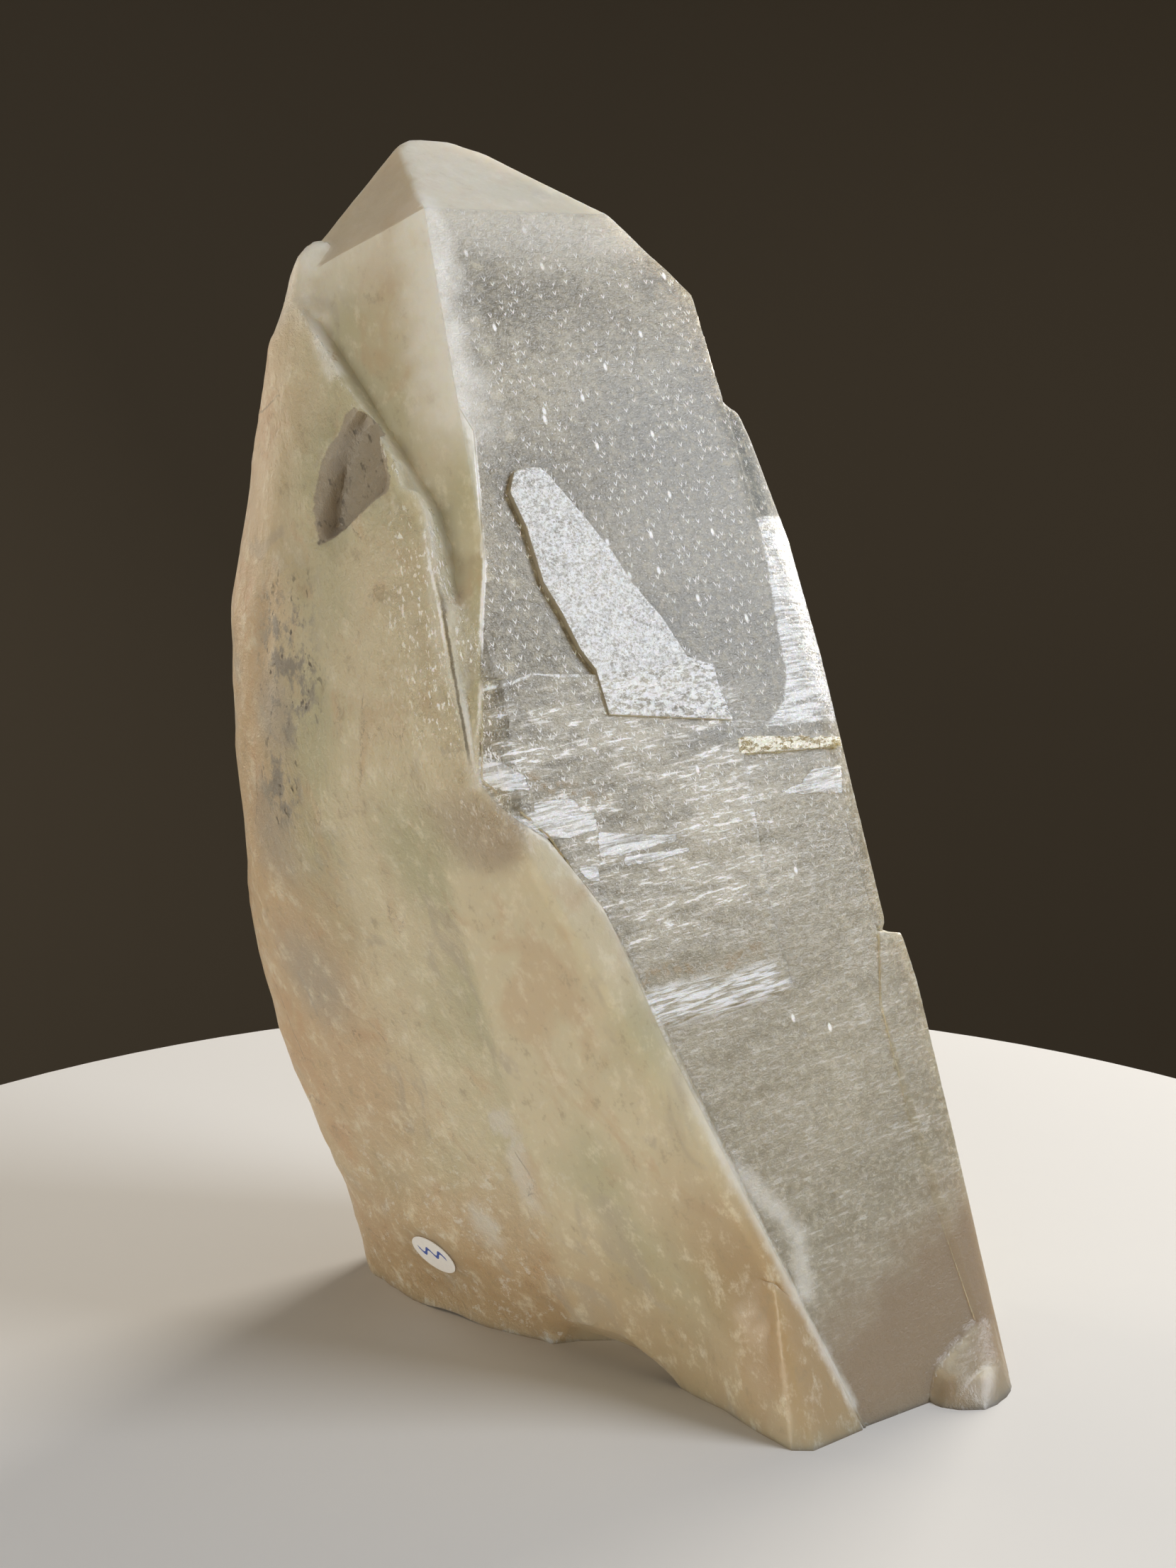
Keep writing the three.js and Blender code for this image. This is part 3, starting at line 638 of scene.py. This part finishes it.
    # glitter: each grain of the growth layers leans its own way
    lean = vector("SUBTRACT", cells(scaled(0.34))["Color"], in_1=(0.5, 0.5, 0.5))
    lean = vector("SCALE", lean, in_Scale=times(front, line(gloss, 0.32, 0.1)))
    leaned = vector("ADD", node("NewGeometry").outputs["Normal"], in_1=lean)
    bump = node(
        "Bump", in_Strength=1.0, in_Distance=MM, in_Height=height,
        in_Normal=vector("NORMALIZE", leaned),
    )

    # -- how smooth it is: the tip is frosted, the growth layers and the crest shine
    rough = line(front, 0.02, 0.38)
    for where, change in (
        (gloss, -0.2), (zone("wet"), -0.22), (zone("worn"), 0.1), (zone("sheen"), 0.45),
        (unevenness, 0.3),
    ):
        rough = line(where, change, rough)

    opaque = most(most(silver_sheen, glints_and_frost), most(band_glints, highlight_lines))
    shader = node(
        "BsdfPrincipled", in_Base_Color=colour, in_Metallic=0.0, in_Roughness=rough,
        in_IOR=QUARTZ_IOR, in_Transmission_Weight=times(zone("clear"), without(opaque)),
        in_Subsurface_Weight=0.7, in_Subsurface_Radius=(1.0, 0.8, 0.56),
        in_Subsurface_Scale=0.01, in_Normal=bump,
    )
    # a faint smoky, warm loss of light along its way through the clear parts
    inside = node("VolumeAbsorption", in_Color=paint("absorbs"), in_Density=9.0)
    node("OutputMaterial", in_Surface=shader, in_Volume=inside)
    return material


def label_vinyl(settings):
    """White gloss vinyl with a line of blue pen: bright, flat and a little shiny."""
    material, node = new_material("white vinyl label, pen line")
    math = partial(calculate, node)
    where = node("Attribute", attribute_name="label_mm").outputs["Vector"]
    x, y, _ = node("SeparateXYZ", in_Vector=where).outputs
    # one loose wave across the label, in millimetres
    wave = math("MULTIPLY", math("SINE", math("MULTIPLY", x, 2.6)), 0.75)
    off_line = math("ABSOLUTE", math("SUBTRACT", y, math("ADD", wave, 0.5)))
    within = math("LESS_THAN", math("ABSOLUTE", x), 2.7)
    ink = math("MULTIPLY", math("LESS_THAN", off_line, PEN_HALF_WIDTH), within)
    soft = node("TexNoise", in_Vector=where, in_Scale=1.5, in_Detail=2.0)
    white = mix(node, soft.outputs["Fac"], linear(settings.white), linear("#e4e6ea"))
    colour = mix(node, ink, white, linear(settings.ink))
    shader = node("BsdfPrincipled", in_Base_Color=colour, in_Roughness=0.28, in_IOR=1.5)
    node("OutputMaterial", in_Surface=shader)
    return material


def plain_paint(name, colour, roughness):
    """Matt wall paint: plain and even."""
    material, node = new_material(name)
    shader = node(
        "BsdfPrincipled", in_Base_Color=linear(colour), in_Roughness=roughness,
        in_Specular_IOR_Level=0.2,
    )
    node("OutputMaterial", in_Surface=shader)
    return material


# ---- the crystal ----


def cad_surface(name):
    """The solid's surface in millimetres: one closed mesh, its flat faces cut up afresh."""
    surface = bmesh.new()
    surface.from_mesh(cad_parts[name].data)
    bmesh.ops.remove_doubles(surface, verts=surface.verts, dist=0.001 * MM)
    bmesh.ops.dissolve_limit(
        surface, angle_limit=np.radians(1.0), verts=surface.verts[:], edges=surface.edges[:]
    )
    bmesh.ops.triangulate(surface, faces=surface.faces[:])
    surface.verts.index_update()
    points = np.array([v.co[:] for v in surface.verts]) / MM
    faces = np.array([[v.index for v in f.verts] for f in surface.faces])
    surface.free()
    return points, faces


def crystal_zones(own, out):
    """Where each look of the crystal is: from 0 to 1 at each point, or in mm from an outline.

    own holds U, V and W and out the surface's direction there, so a number inside smooth()
    is a place or a distance in millimetres, or a slope."""
    u, v, w = own.T
    uw, vw = own[:, [0, 2]], own[:, 1:]
    wander = rows(fractal(own, 5, 40), fractal(own, 5, 50))
    fine = fractal(own, 3, 60)
    bulk = fractal(own, 26, 70)
    beyond = beyond_main(own)
    ridge_line = to_line(own, RIDGE)
    crest_line = to_line(own, CREST)
    height = to_row_frame(own)[:, 2]

    def clipped(mm):
        return np.clip(mm, -3, 3)

    def near_front_mm(*outlines):
        return clipped(np.min([outline_mm(uw, o) for o in outlines], axis=0))

    # the front face: from the ridge or the seam on its left round to the strip on its right
    ridge, seam = np.array(RIDGE)[::-1], np.array(FRONT_LEFT)
    ridge_u = np.interp(w, ridge[:, 2], ridge[:, 0])
    seam_mm = u - np.interp(w, seam[:, 1], seam[:, 0])
    inside = np.where(w > 95, smooth(-0.6, 0.6, seam_mm), smooth(-0.4, 1, u - ridge_u))
    level = smooth(2.4, 1.2, v) * smooth(-4, -2.6, v)
    front = smooth(0.55, 0.9, -out[:, 1]) * level * inside * smooth(177, 174.8, w)
    side = smooth(22, 27, u) * smooth(-0.2, -0.6, out[:, 1]) * smooth(10, 4, v)
    front = np.maximum(front, side * smooth(150, 145, w))
    on_left = 1 - smooth(14, 20, u)
    flank = smooth(0.8, 2.6, beyond) * on_left
    corner = in_outline(uw + wander * 5, SMOOTH_CORNER, 8)
    foot_chip = in_outline(uw + wander, FOOT_CHIP, 1)
    drops = np.min([np.hypot((u - a) / 0.3, (w - b) / 0.6) for a, b in DROPS], axis=0) - 1
    bits = np.min([np.hypot(u - a, (w - b) * 1.2) for a, b in CREAM_BITS], axis=0)
    streak = smooth(107, 104, w) * smooth(66, 74, w) * smooth(22, 8, u) + 0.35 * smooth(104, 90, w)

    high_seam = smooth(8, 1, np.hypot(0.9 * (seam_mm + 0.5), v - 1) + 2.5 * fine)
    wisps = to_line(uw + 0.8 * wander, FOOT_WISPS)
    milk = np.max([
        high_seam * smooth(134, 148, w),
        # the tip
        0.55 * smooth(164, 174, w + 3 * bulk + 2 * fine),
        0.9 * smooth(170, 177, w) * smooth(1, 2.5, beyond),
        # the ridge, low down and higher up
        0.6 * smooth(1.2, 0.2, ridge_line + 0.8 * fine) * smooth(60, 40, w),
        0.15 * smooth(1, 0.2, ridge_line) * smooth(95, 85, w),
        0.8 * smooth(6, 2.5, length(own - KNOB)),
        0.5 * smooth(1.6, 0.3, crest_line + 0.8 * fine) * smooth(136, 128, w),
        0.75 * smooth(2.2, 0.8, to_line(own, BEVEL) + 0.6 * fine),
        0.6 * front * smooth(2.4, 0.4, wisps + fine),
    ], axis=0)

    clear = 0.42 * front * (1 - 0.6 * corner) * (1 - 0.8 * milk)
    clear *= 0.75 + 0.25 * smooth(-0.4, 0.4, noise(own, 24, 5))
    clear += 0.18 * (1 - front) * (1 - 0.6 * milk)

    # painted light and shade: warm light where the mass is thin or curls under, and shade that
    # turns it brown near the base and by the low ridge
    far_left = smooth(22, 38, v + 0.16 * (w - 100) + 5 * bulk) * smooth(30, 60, w)
    peach_and_warm_light = 0.75 * flank * np.maximum(smooth(34, 8, height + 8 * bulk), far_left)
    low_ridge = smooth(20, 6, ridge_line + 3 * bulk) * smooth(48, 22, w)
    low_shade = np.maximum(0.75 * smooth(30, 2, height + 8 * bulk), low_ridge) * (1 - front) * on_left
    # grey smudges high on the left; flecks and white clouds low on the left
    smudged = smooth(9, 4, np.abs(v - 27 + 0.2 * (w - 110)))
    dusty = flank * smudged * smooth(84, 98, w) * smooth(140, 124, w)
    dusty *= smooth(-0.3, 0.1, noise(own, 15, 90))
    low_left = flank * smooth(24, 34, v) * smooth(62, 44, w)
    white_clouds = near_clouds(own + 2 * wander[:, [0, 1, 0]], WHITE_CLOUDS)

    def right_of(line):
        """How far each point lies to the right of the crest or of the long crack."""
        x, y, z = np.array(line)[::-1].T
        return (0.53 * u - 0.85 * v) - np.interp(w, z, 0.53 * x - 0.85 * y)

    recess_mm = np.minimum(outline_mm(vw, PIT_IN_VW), outline_mm(vw, SMALL_PIT_IN_VW) + 0.2)
    recess_mm += 3 * smooth(-0.4, 0.8, right_of(CREST))
    along_crack = smooth(96, 100, w) * smooth(134, 130, w) * smooth(-15, -20, u)
    wet = flank * smooth(11, 2, crest_line + 2.5 * fine) * smooth(137, 132, w)
    wet = np.maximum(wet, 0.6 * smooth(1.6, 0.3, crest_line))
    wet *= smooth(-0.35, 0.1, fractal(own * [1, 1, 0.5], 4, 95))

    stains = [smooth(1.3, 0.2, to_line(uw + 0.6 * wander, line)) for line in IRON_LINES]
    stain = 0.8 * front * np.max(stains, axis=0)
    spot = smooth(1.6, 0.6, np.hypot(u + 27, w - 160.5) + 0.8 * fine)
    return dict(
        front=front, clear=clear, milk=milk, flank=flank, peach_and_warm_light=peach_and_warm_light, low_shade=low_shade, dusty=dusty,
        # corner: the low corner and the chipped foot, darkened as painted shade
        wet=wet, corner=np.maximum(corner * front, 0.85 * foot_chip),
        cool=smooth(-6, 12, u) * smooth(84, 98, w) * smooth(162, 145, w),
        sheen=0.75 * in_outline(uw, SHEEN, 2),
        # the tip face turned from the light: painted shade
        shaded_tip=smooth(0.9, 0.97, out @ SHADED_TIP_OUT) * smooth(0.8, 0.2, beyond),
        worn=np.maximum(smooth(172, 178, w), flank * 0.4), lively=0.3 + 0.7 * smooth(58, 96, w),
        streak=np.clip(streak, 0, 1), banded=in_outline(uw + wander, BANDED_PATCH, 0.8),
        tongue_mm=near_front_mm(TONGUE), tongue_foot=smooth(107.4, 105.6, w),
        strip_mm=near_front_mm(SIDE_STRIP), gold_mm=near_front_mm(GOLD_BAND),
        ledge_mm=near_front_mm(*LEDGES), step_mm=clipped(to_line(uw, STEP_LINE)),
        bit_mm=np.clip(bits - 0.9, -1, 3), drop_mm=np.clip(drops, -1, 3) * 0.3,
        rosy=flank * smooth(15, 5, ridge_line + 3 * bulk) * smooth(100, 88, w),
        fleck=np.maximum(low_left, 0.7 * near_clouds(own, WHITE_CLOUDS)),
        pale_patch=flank * smooth(0.45, 0.6, white_clouds),
        olive=flank * near_clouds(own, OLIVE_CLOUDS), grey=flank * near_clouds(own, GREY_CLOUDS),
        recess_mm=clipped(recess_mm), crack_mm=clipped(right_of(CRACK)), seam_mm=clipped(seam_mm),
        crack_depth=along_crack * smooth(126, 118, w), crack_highlight=along_crack * smooth(108, 116, w),
        seam_highlight=smooth(94, 98, w) * smooth(146, 136, w) * smooth(3, 1, np.abs(v)),
        iron=np.maximum(stain, 0.9 * spot * smooth(0.5, 1.5, beyond)),
    )


def wished_step(settings):
    """How long an edge of the mesh may be, by the place of its middle: short along the
    outlines on the front face, long at the back and on the base."""
    outlines = [[*ring, ring[0]] for ring in (TONGUE, SIDE_STRIP, GOLD_BAND, *LEDGES)]
    outlines += [STEP_LINE, FRONT_LEFT]

    def limit(middle):
        at = to_own_frame(middle)
        facing = smooth(48, 20, at[:, 1])
        front = smooth(3, 1.5, at[:, 1]) * smooth(-4, -3, at[:, 1])
        size = BACK_STEP - (BACK_STEP - FLANK_STEP) * facing
        size -= (FLANK_STEP - settings.front_step) * front * facing
        on_front = np.flatnonzero(front > 0.5)
        uw = at[on_front][:, [0, 2]]
        away = np.min([to_line(uw, line) for line in outlines], axis=0)
        drops = np.min([length(uw - d) for d in DROPS], axis=0)
        near = smooth(1.4, 0.3, np.minimum(away, drops - 0.9))
        size[on_front] = size[on_front] * (1 - near) + settings.outline_step * near
        rims = [np.abs(outline_mm(at[:, 1:], rim)) for rim in (PIT_IN_VW, SMALL_PIT_IN_VW)]
        near_rim = (np.min(rims, axis=0) < 0.8) & (at[:, 0] < -22)
        size = np.where(near_rim | (to_line(at, CRACK) < 1.5), RIM_STEP, size)
        on_base = middle[:, 2] < 0.01
        return np.where(on_base, BASE_STEP, size * (1))

    return limit


def weathered(points, faces, settings):
    """Rounds and roughens the broken mass, and gives the crystal faces their growth lines."""
    edges, _ = edges_of(faces)
    own = to_own_frame(points)
    beyond = beyond_main(own)
    grounded = smooth(0.02, 2, points[:, 2])
    crest = smooth(0.6, 5, to_line(own, CREST)) * smooth(0.3, 3, to_line(own, RIDGE))
    pit = smooth(7, 10.5, length((own - PIT_MIDDLE) * [1, 1, 0.75]))
    broken = smooth(0.8, 3, beyond) * smooth(20, 14, own[:, 0]) * grounded * crest
    points = relax(points, edges, 0.6 * broken * (0.15 + 0.85 * pit), 45)

    # shell-shaped waves along the axis, shallow terraces and flakes on the broken mass
    own = to_own_frame(points)
    out = vertex_normals(points, faces)
    ripple = noise(own * [1, 1, 0.38] + 2.5 * noise(own, 22, 3)[:, None], 6.5, 11)
    ripple = 0.55 * (1 - 2 * np.abs(ripple)) + 0.3 * noise(own, 14, 12)
    steps = 5
    terrace = fractal(own * [1, 1, 0.7], 13, 21, 4) * steps
    level = np.floor(terrace)
    terrace = (level + smooth(0.72, 0.98, terrace - level)) / steps
    flake = fractal(own * [1, 1, 0.6], 2.6, 31, 2)
    move = np.clip(broken * (settings.ripple * ripple + 1.1 * terrace + 0.1 * flake), -1.4, 0.9)
    # growth lines and low hillocks on the crystal faces
    on_faces = (1 - smooth(0.8, 3, beyond)) * grounded * smooth(0, 1, grounded)
    growth = noise(own * [0.05, 0.05, 1], 2.4, 71)
    growth += 0.5 * noise(own * [0.12, 0.12, 1], 1.2, 72)
    move += on_faces * (0.05 * growth + 0.08 * fractal(own, 9, 81))
    points = relax(points + out * move[:, None], edges, 0.25 * grounded, 2)

    # the flat patch of the flank that carries the label
    apart = to_own_frame(points) - LABEL_AT
    above = apart @ LABEL_OUT
    aside = length(apart - above[:, None] * LABEL_OUT)
    seat = smooth(13, 5.5, aside) * smooth(6, 4, np.abs(above))
    points -= (LEAN @ LABEL_OUT) * (above * seat)[:, None]
    return np.clip(points, np.array(CAD_LOW) / MM, np.array(CAD_HIGH) / MM)


def dress_crystal(settings):
    points, faces = cad_surface("crystal")
    limit = wished_step(settings)
    for coarseness, flat_deg in MESH_ROUNDS:
        points, faces = split_long_edges(points, faces, lambda at: coarseness * limit(at))
        faces = turn_edges(points, faces, flat_deg)
    points = weathered(points, faces, settings)

    quartz = milky_quartz(settings)
    made = mesh_object("crystal_body", points, faces, quartz, sharp_deg=32)
    own = to_own_frame(points)
    store(made.data, "own_mm", own)
    for name, values in crystal_zones(own, vertex_normals(points, faces) @ LEAN).items():
        store(made.data, name, values)
    # the left wall of the thick layer, face by face, which is darkened as painted shade
    sides = unit(face_normals(own, faces))
    at = own[faces].mean(1)
    near_tongue = outline_mm(at[:, [0, 2]], TONGUE) < 0.6
    wall = (sides[:, 0] < -0.5) & (at[:, 1] < 0.1) & (at[:, 1] > -1.2) & near_tongue
    store(made.data, "wall", wall.astype(float), "FACE")
    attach(made, "root")
    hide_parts("crystal")


# ---- the label ----


def dress_label(settings):
    """A thin round sticker that lies on the flank and bends with it."""
    body = bpy.data.objects["crystal_body"]
    surface = BVHTree.FromObject(body, bpy.context.evaluated_depsgraph_get())
    out = Vector(LEAN @ np.array(LABEL_OUT)).normalized()
    across = out.cross(Vector((0, 0, 1))).normalized()
    up = across.cross(out).normalized()
    middle = Vector(to_row_frame(np.array([LABEL_AT]))[0])
    rings, spokes = 10, 64
    turns = np.linspace(0, 2 * np.pi, spokes, endpoint=False)
    radii = LABEL_RADIUS * np.arange(1, rings + 1) / rings
    flat = [(0.0, 0.0)] + [(r * np.cos(t), r * np.sin(t)) for r in radii for t in turns]
    high = []
    for x, y in flat:
        start = middle + across * x + up * y + out * PROBE_FROM
        hit, _, _, distance = surface.ray_cast(start * MM, -out, 0.02)
        if hit is None:
            raise RuntimeError("the label hangs over the edge of the flank")
        high.append(PROBE_FROM - distance / MM)
    # paper-like stiffness: it follows the flank's broad shape and bridges what is small
    x, y = np.array(flat).T
    terms = rows(np.ones_like(x), x, y, x * x, x * y, y * y)
    sheet = terms @ np.linalg.lstsq(terms, np.array(high), rcond=None)[0]
    sheet = np.maximum(sheet, np.array(high) - 0.05) + settings.lift
    axes = np.array([across, up, out])
    top = np.array(middle) + rows(x, y, sheet) @ axes
    bottom = top - axes[2] * settings.thickness
    number = len(top)
    around = [(k, (k + 1) % spokes) for k in range(spokes)]
    faces = [(0, 1 + k, 1 + after) for k, after in around]
    rim = number - spokes
    for a in range(1, rim, spokes):
        b = a + spokes
        for k, after in around:
            faces += [(a + k, b + k, b + after), (a + k, b + after, a + after)]
    lower = [(number + c, number + b, number + a) for a, b, c in faces]
    walls = []
    for k, after in around:
        a, b = rim + k, rim + after
        walls += [(a, number + a, number + b), (a, number + b, b)]
    faces += lower + walls
    vinyl = label_vinyl(settings)
    made = mesh_object("label_disc", np.vstack([top, bottom]), faces, vinyl, sharp_deg=40)
    store(made.data, "label_mm", np.tile(rows(x, y, 0 * x), (2, 1)))
    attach(made, "root")
    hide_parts("round_label")


# ---- the studio ----


def light_panel(name, at, width, height, power, colour):
    """A soft rectangular studio light, turned towards the middle of the crystal."""
    data = bpy.data.lights.new(name, "AREA")
    data.shape = "RECTANGLE"
    data.size, data.size_y = width, height
    data.energy = power
    data.color = linear(colour)[:3]
    lamp = new_object(name, data)
    lamp.location = at
    lamp.rotation_mode = "QUATERNION"
    lamp.rotation_quaternion = (Vector(LIT_POINT) - Vector(at)).to_track_quat("-Z", "Y")


def round_wall(name, radius, low, high, lid_at_top, material):
    """An upright round wall, closed by a disc at its upper or lower rim."""
    sides = 96
    turns = np.linspace(0, 2 * np.pi, sides, endpoint=False)
    rims = [(np.cos(t) * radius, np.sin(t) * radius, z) for z in (low, high) for t in turns]
    after = [(k + 1) % sides for k in range(sides)]
    walls = [(k, after[k], sides + after[k], sides + k) for k in range(sides)]
    first = sides if lid_at_top else 0
    mesh = bpy.data.meshes.new(name)
    mesh.from_pydata(rims, [], [*walls, list(range(first, first + sides))])
    mesh.materials.append(material)
    made = new_object(name, mesh)


def dress_stage(settings):
    scene = bpy.context.scene
    pale = plain_paint("pale matt floor", settings.floor, 0.9)
    round_wall("floor", settings.floor_radius, -0.05, 0.0, True, pale)
    dim = plain_paint("dim matt backdrop", settings.backdrop, 0.95)
    round_wall("backdrop", 1.6, -0.5, 1.9, False, dim)

    world = bpy.data.worlds.new("soft room light")
    world.use_nodes = True
    background = world.node_tree.nodes["Background"]
    background.inputs[0].default_value = linear("#fbf6ee")
    background.inputs[1].default_value = settings.room_light
    scene.world = world
    for name, at, width, height, power, colour in LIGHTS:
        light_panel(name, at, width, height, power * settings.light, colour)

    camera = bpy.data.cameras.new("camera")
    camera.lens = settings.lens
    camera.sensor_width = 36.0
    camera.clip_start, camera.clip_end = 0.01, 20.0
    holder = new_object("camera", camera)
    holder.location = CAMERA_AT
    holder.rotation_euler = (np.radians(90 - settings.look_down), 0.0, 0.0)
    scene.camera = holder
    scene.view_settings.view_transform = "Standard"
    scene.view_settings.exposure = settings.exposure


# ---- the add-on ----


def swatch(name, what, value):
    text = f"Colour of {what}, sRGB hex"
    return bpy.props.StringProperty(name=name, description=text, default=value)


def slider(name, text, default, low, high, **more):
    return bpy.props.FloatProperty(
        name=name, description=text, default=default, min=low, max=high, **more
    )


class CrystalSettings(bpy.types.PropertyGroup):
    cream: swatch("Cream", "the cloudy mass", "#d9d0b6")
    olive: swatch("Olive", "its greenish clouds", "#c3bfa2")
    # also painted warm light on the thin and low parts
    peach_and_warm_light: swatch("Peach", "its thin and low parts", "#cbb191")
    # painted shade near the base
    low_shade: swatch("Low brown", "the mass near its broken base", "#b0966f")
    rosy: swatch("Rosy grey", "the mass beside the ridge", "#b2a491")
    mist: swatch("Mist", "its greyish clouds", "#b7ae9f")
    pale: swatch("Pale", "small pale wisps and grains", "#f0ead6")
    # painted shade in the hollows
    hollow_shade: swatch("Hollows", "small hollows in the mass", "#a3957a")
    mist_white: swatch("White clouds", "the low pale clouds", "#dedad0")
    grey: swatch("Front grey", "the paler parts under the front face", "#bcb49d")
    smoke: swatch("Smoke", "the darker parts under the front face", "#938b75")
    cool: swatch("Cool grey", "the middle of the front face", "#a3a49f")
    # painted sheen
    sheen: swatch("Haze", "the bluish haze on the right", "#868c8c")
    # painted shade on the tip face
    shaded_tip: swatch("Dull face", "the brownish face at the tip", "#ae9878")
    crack: swatch("Crack", "the long crack", "#5d5340")
    shade: swatch("Shade", "the dark grains of the front face", "#6e6654")
    # painted shade on the low corner
    corner: swatch("Corner", "the smooth low corner", "#9c8b74")
    white: swatch("Milk white", "milky edges and the tip", "#ebeae4")
    # painted sheen and glitter
    silver_sheen: swatch("Silver", "the glittering layers", "#f5f8fc")
    flake: swatch("Flakes", "the cream flakes on the front face", "#efe8cf")
    # painted glints on the honeycomb band
    gold: swatch("Gold", "the bright spots of the honeycomb band", "#fffae6")
    honeycomb: swatch("Honeycomb", "the rest of that band", "#bfae7e")
    # painted shade on the step wall
    wall: swatch("Step wall", "the side of the thick layer", "#796f60")
    iron: swatch("Iron stain", "the rusty lines", "#a98a52")
    dust: swatch("Smudges", "the grey smudges", "#8f8a82")
    dark_speck: swatch("Dark specks", "specks and hair cracks", "#625c52")
    recess: swatch("Recess", "the grey broken recess", "#a3988a")
    absorbs: swatch("Absorption", "light that has crossed the clear parts", "#d8c3a0")
    front_step: slider("Front detail", "Longest edge on the front face, in mm", 1.2, 0.3, 4.0)
    outline_step: slider("Outline detail", "Longest edge along its outlines, in mm", 0.45, 0.2, 4.0)
    ripple: slider("Ripple", "Height of the waves on the broken mass, in mm", 0.75, 0.0, 2.0)


class LabelSettings(bpy.types.PropertyGroup):
    white: swatch("White", "the vinyl", "#f5f6f6")
    ink: swatch("Ink", "the pen line", "#2f56b0")
    thickness: slider("Thickness", "Thickness of the sticker, in mm", 0.12, 0.05, 0.5)
    lift: slider("Lift", "Height of its top over the flank, in mm", 0.2, 0.1, 1.0)


class StageSettings(bpy.types.PropertyGroup):
    floor: swatch("Floor", "the floor", "#d2d1cf")
    backdrop: swatch("Backdrop", "the backdrop", "#665d4f")
    floor_radius: slider(
        "Floor radius", "Radius of the round floor", 0.17, 0.1, 1.5, unit="LENGTH"
    )
    light: slider("Light", "Power of all the lights together", 1.0, 0.0, 10.0)
    room_light: slider("Room light", "Strength of the light from above", 0.12, 0.0, 5.0)
    lens: slider("Lens", "Focal length for a 36 mm sensor", 36.0, 10.0, 200.0, unit="CAMERA")
    look_down: slider(
        "Look down", "How far the camera points below level, in degrees", 7.0, 0.0, 90.0
    )
    exposure: slider("Exposure", "Brightness of the picture, in stops", 0.0, -5.0, 5.0)


class CRYSTAL_OT_body(bpy.types.Operator):
    """Build the crystal's body over its solid"""

    bl_idname = "crystal.build_body"
    bl_label = "Build crystal"

    def execute(self, context):
        dress_crystal(context.scene.crystal_body)
        return {"FINISHED"}


class CRYSTAL_OT_label(bpy.types.Operator):
    """Lay the round label on the crystal's flank"""

    bl_idname = "crystal.build_label"
    bl_label = "Build label"

    def execute(self, context):
        dress_label(context.scene.crystal_label)
        return {"FINISHED"}


class CRYSTAL_OT_stage(bpy.types.Operator):
    """Build the floor, backdrop, lights and camera"""

    bl_idname = "crystal.build_stage"
    bl_label = "Build studio"

    def execute(self, context):
        dress_stage(context.scene.crystal_stage)
        return {"FINISHED"}


class CRYSTAL_PT_panel(bpy.types.Panel):
    """Settings and builders of the crystal"""

    bl_idname = "CRYSTAL_PT_panel"
    bl_label = "Citrine crystal"
    bl_space_type = "VIEW_3D"
    bl_region_type = "UI"
    bl_category = "Crystal"

    def draw(self, context):
        for name, group, operator in GROUPS:
            box = self.layout.box()
            settings = getattr(context.scene, name)
            for prop in group.__annotations__:
                box.prop(settings, prop)
            box.operator(operator.bl_idname)


GROUPS = (
    ("crystal_body", CrystalSettings, CRYSTAL_OT_body),
    ("crystal_label", LabelSettings, CRYSTAL_OT_label),
    ("crystal_stage", StageSettings, CRYSTAL_OT_stage),
)


def register():
    for name, group, operator in GROUPS:
        bpy.utils.register_class(group)
        bpy.utils.register_class(operator)
        setattr(bpy.types.Scene, name, bpy.props.PointerProperty(type=group))
    bpy.utils.register_class(CRYSTAL_PT_panel)


def unregister():
    bpy.utils.unregister_class(CRYSTAL_PT_panel)
    for name, group, operator in reversed(GROUPS):
        delattr(bpy.types.Scene, name)
        bpy.utils.unregister_class(operator)
        bpy.utils.unregister_class(group)


def main():
    register()
    bpy.ops.crystal.build_body()
    bpy.ops.crystal.build_label()
    bpy.ops.crystal.build_stage()


if __name__ == "__main__":
    main()
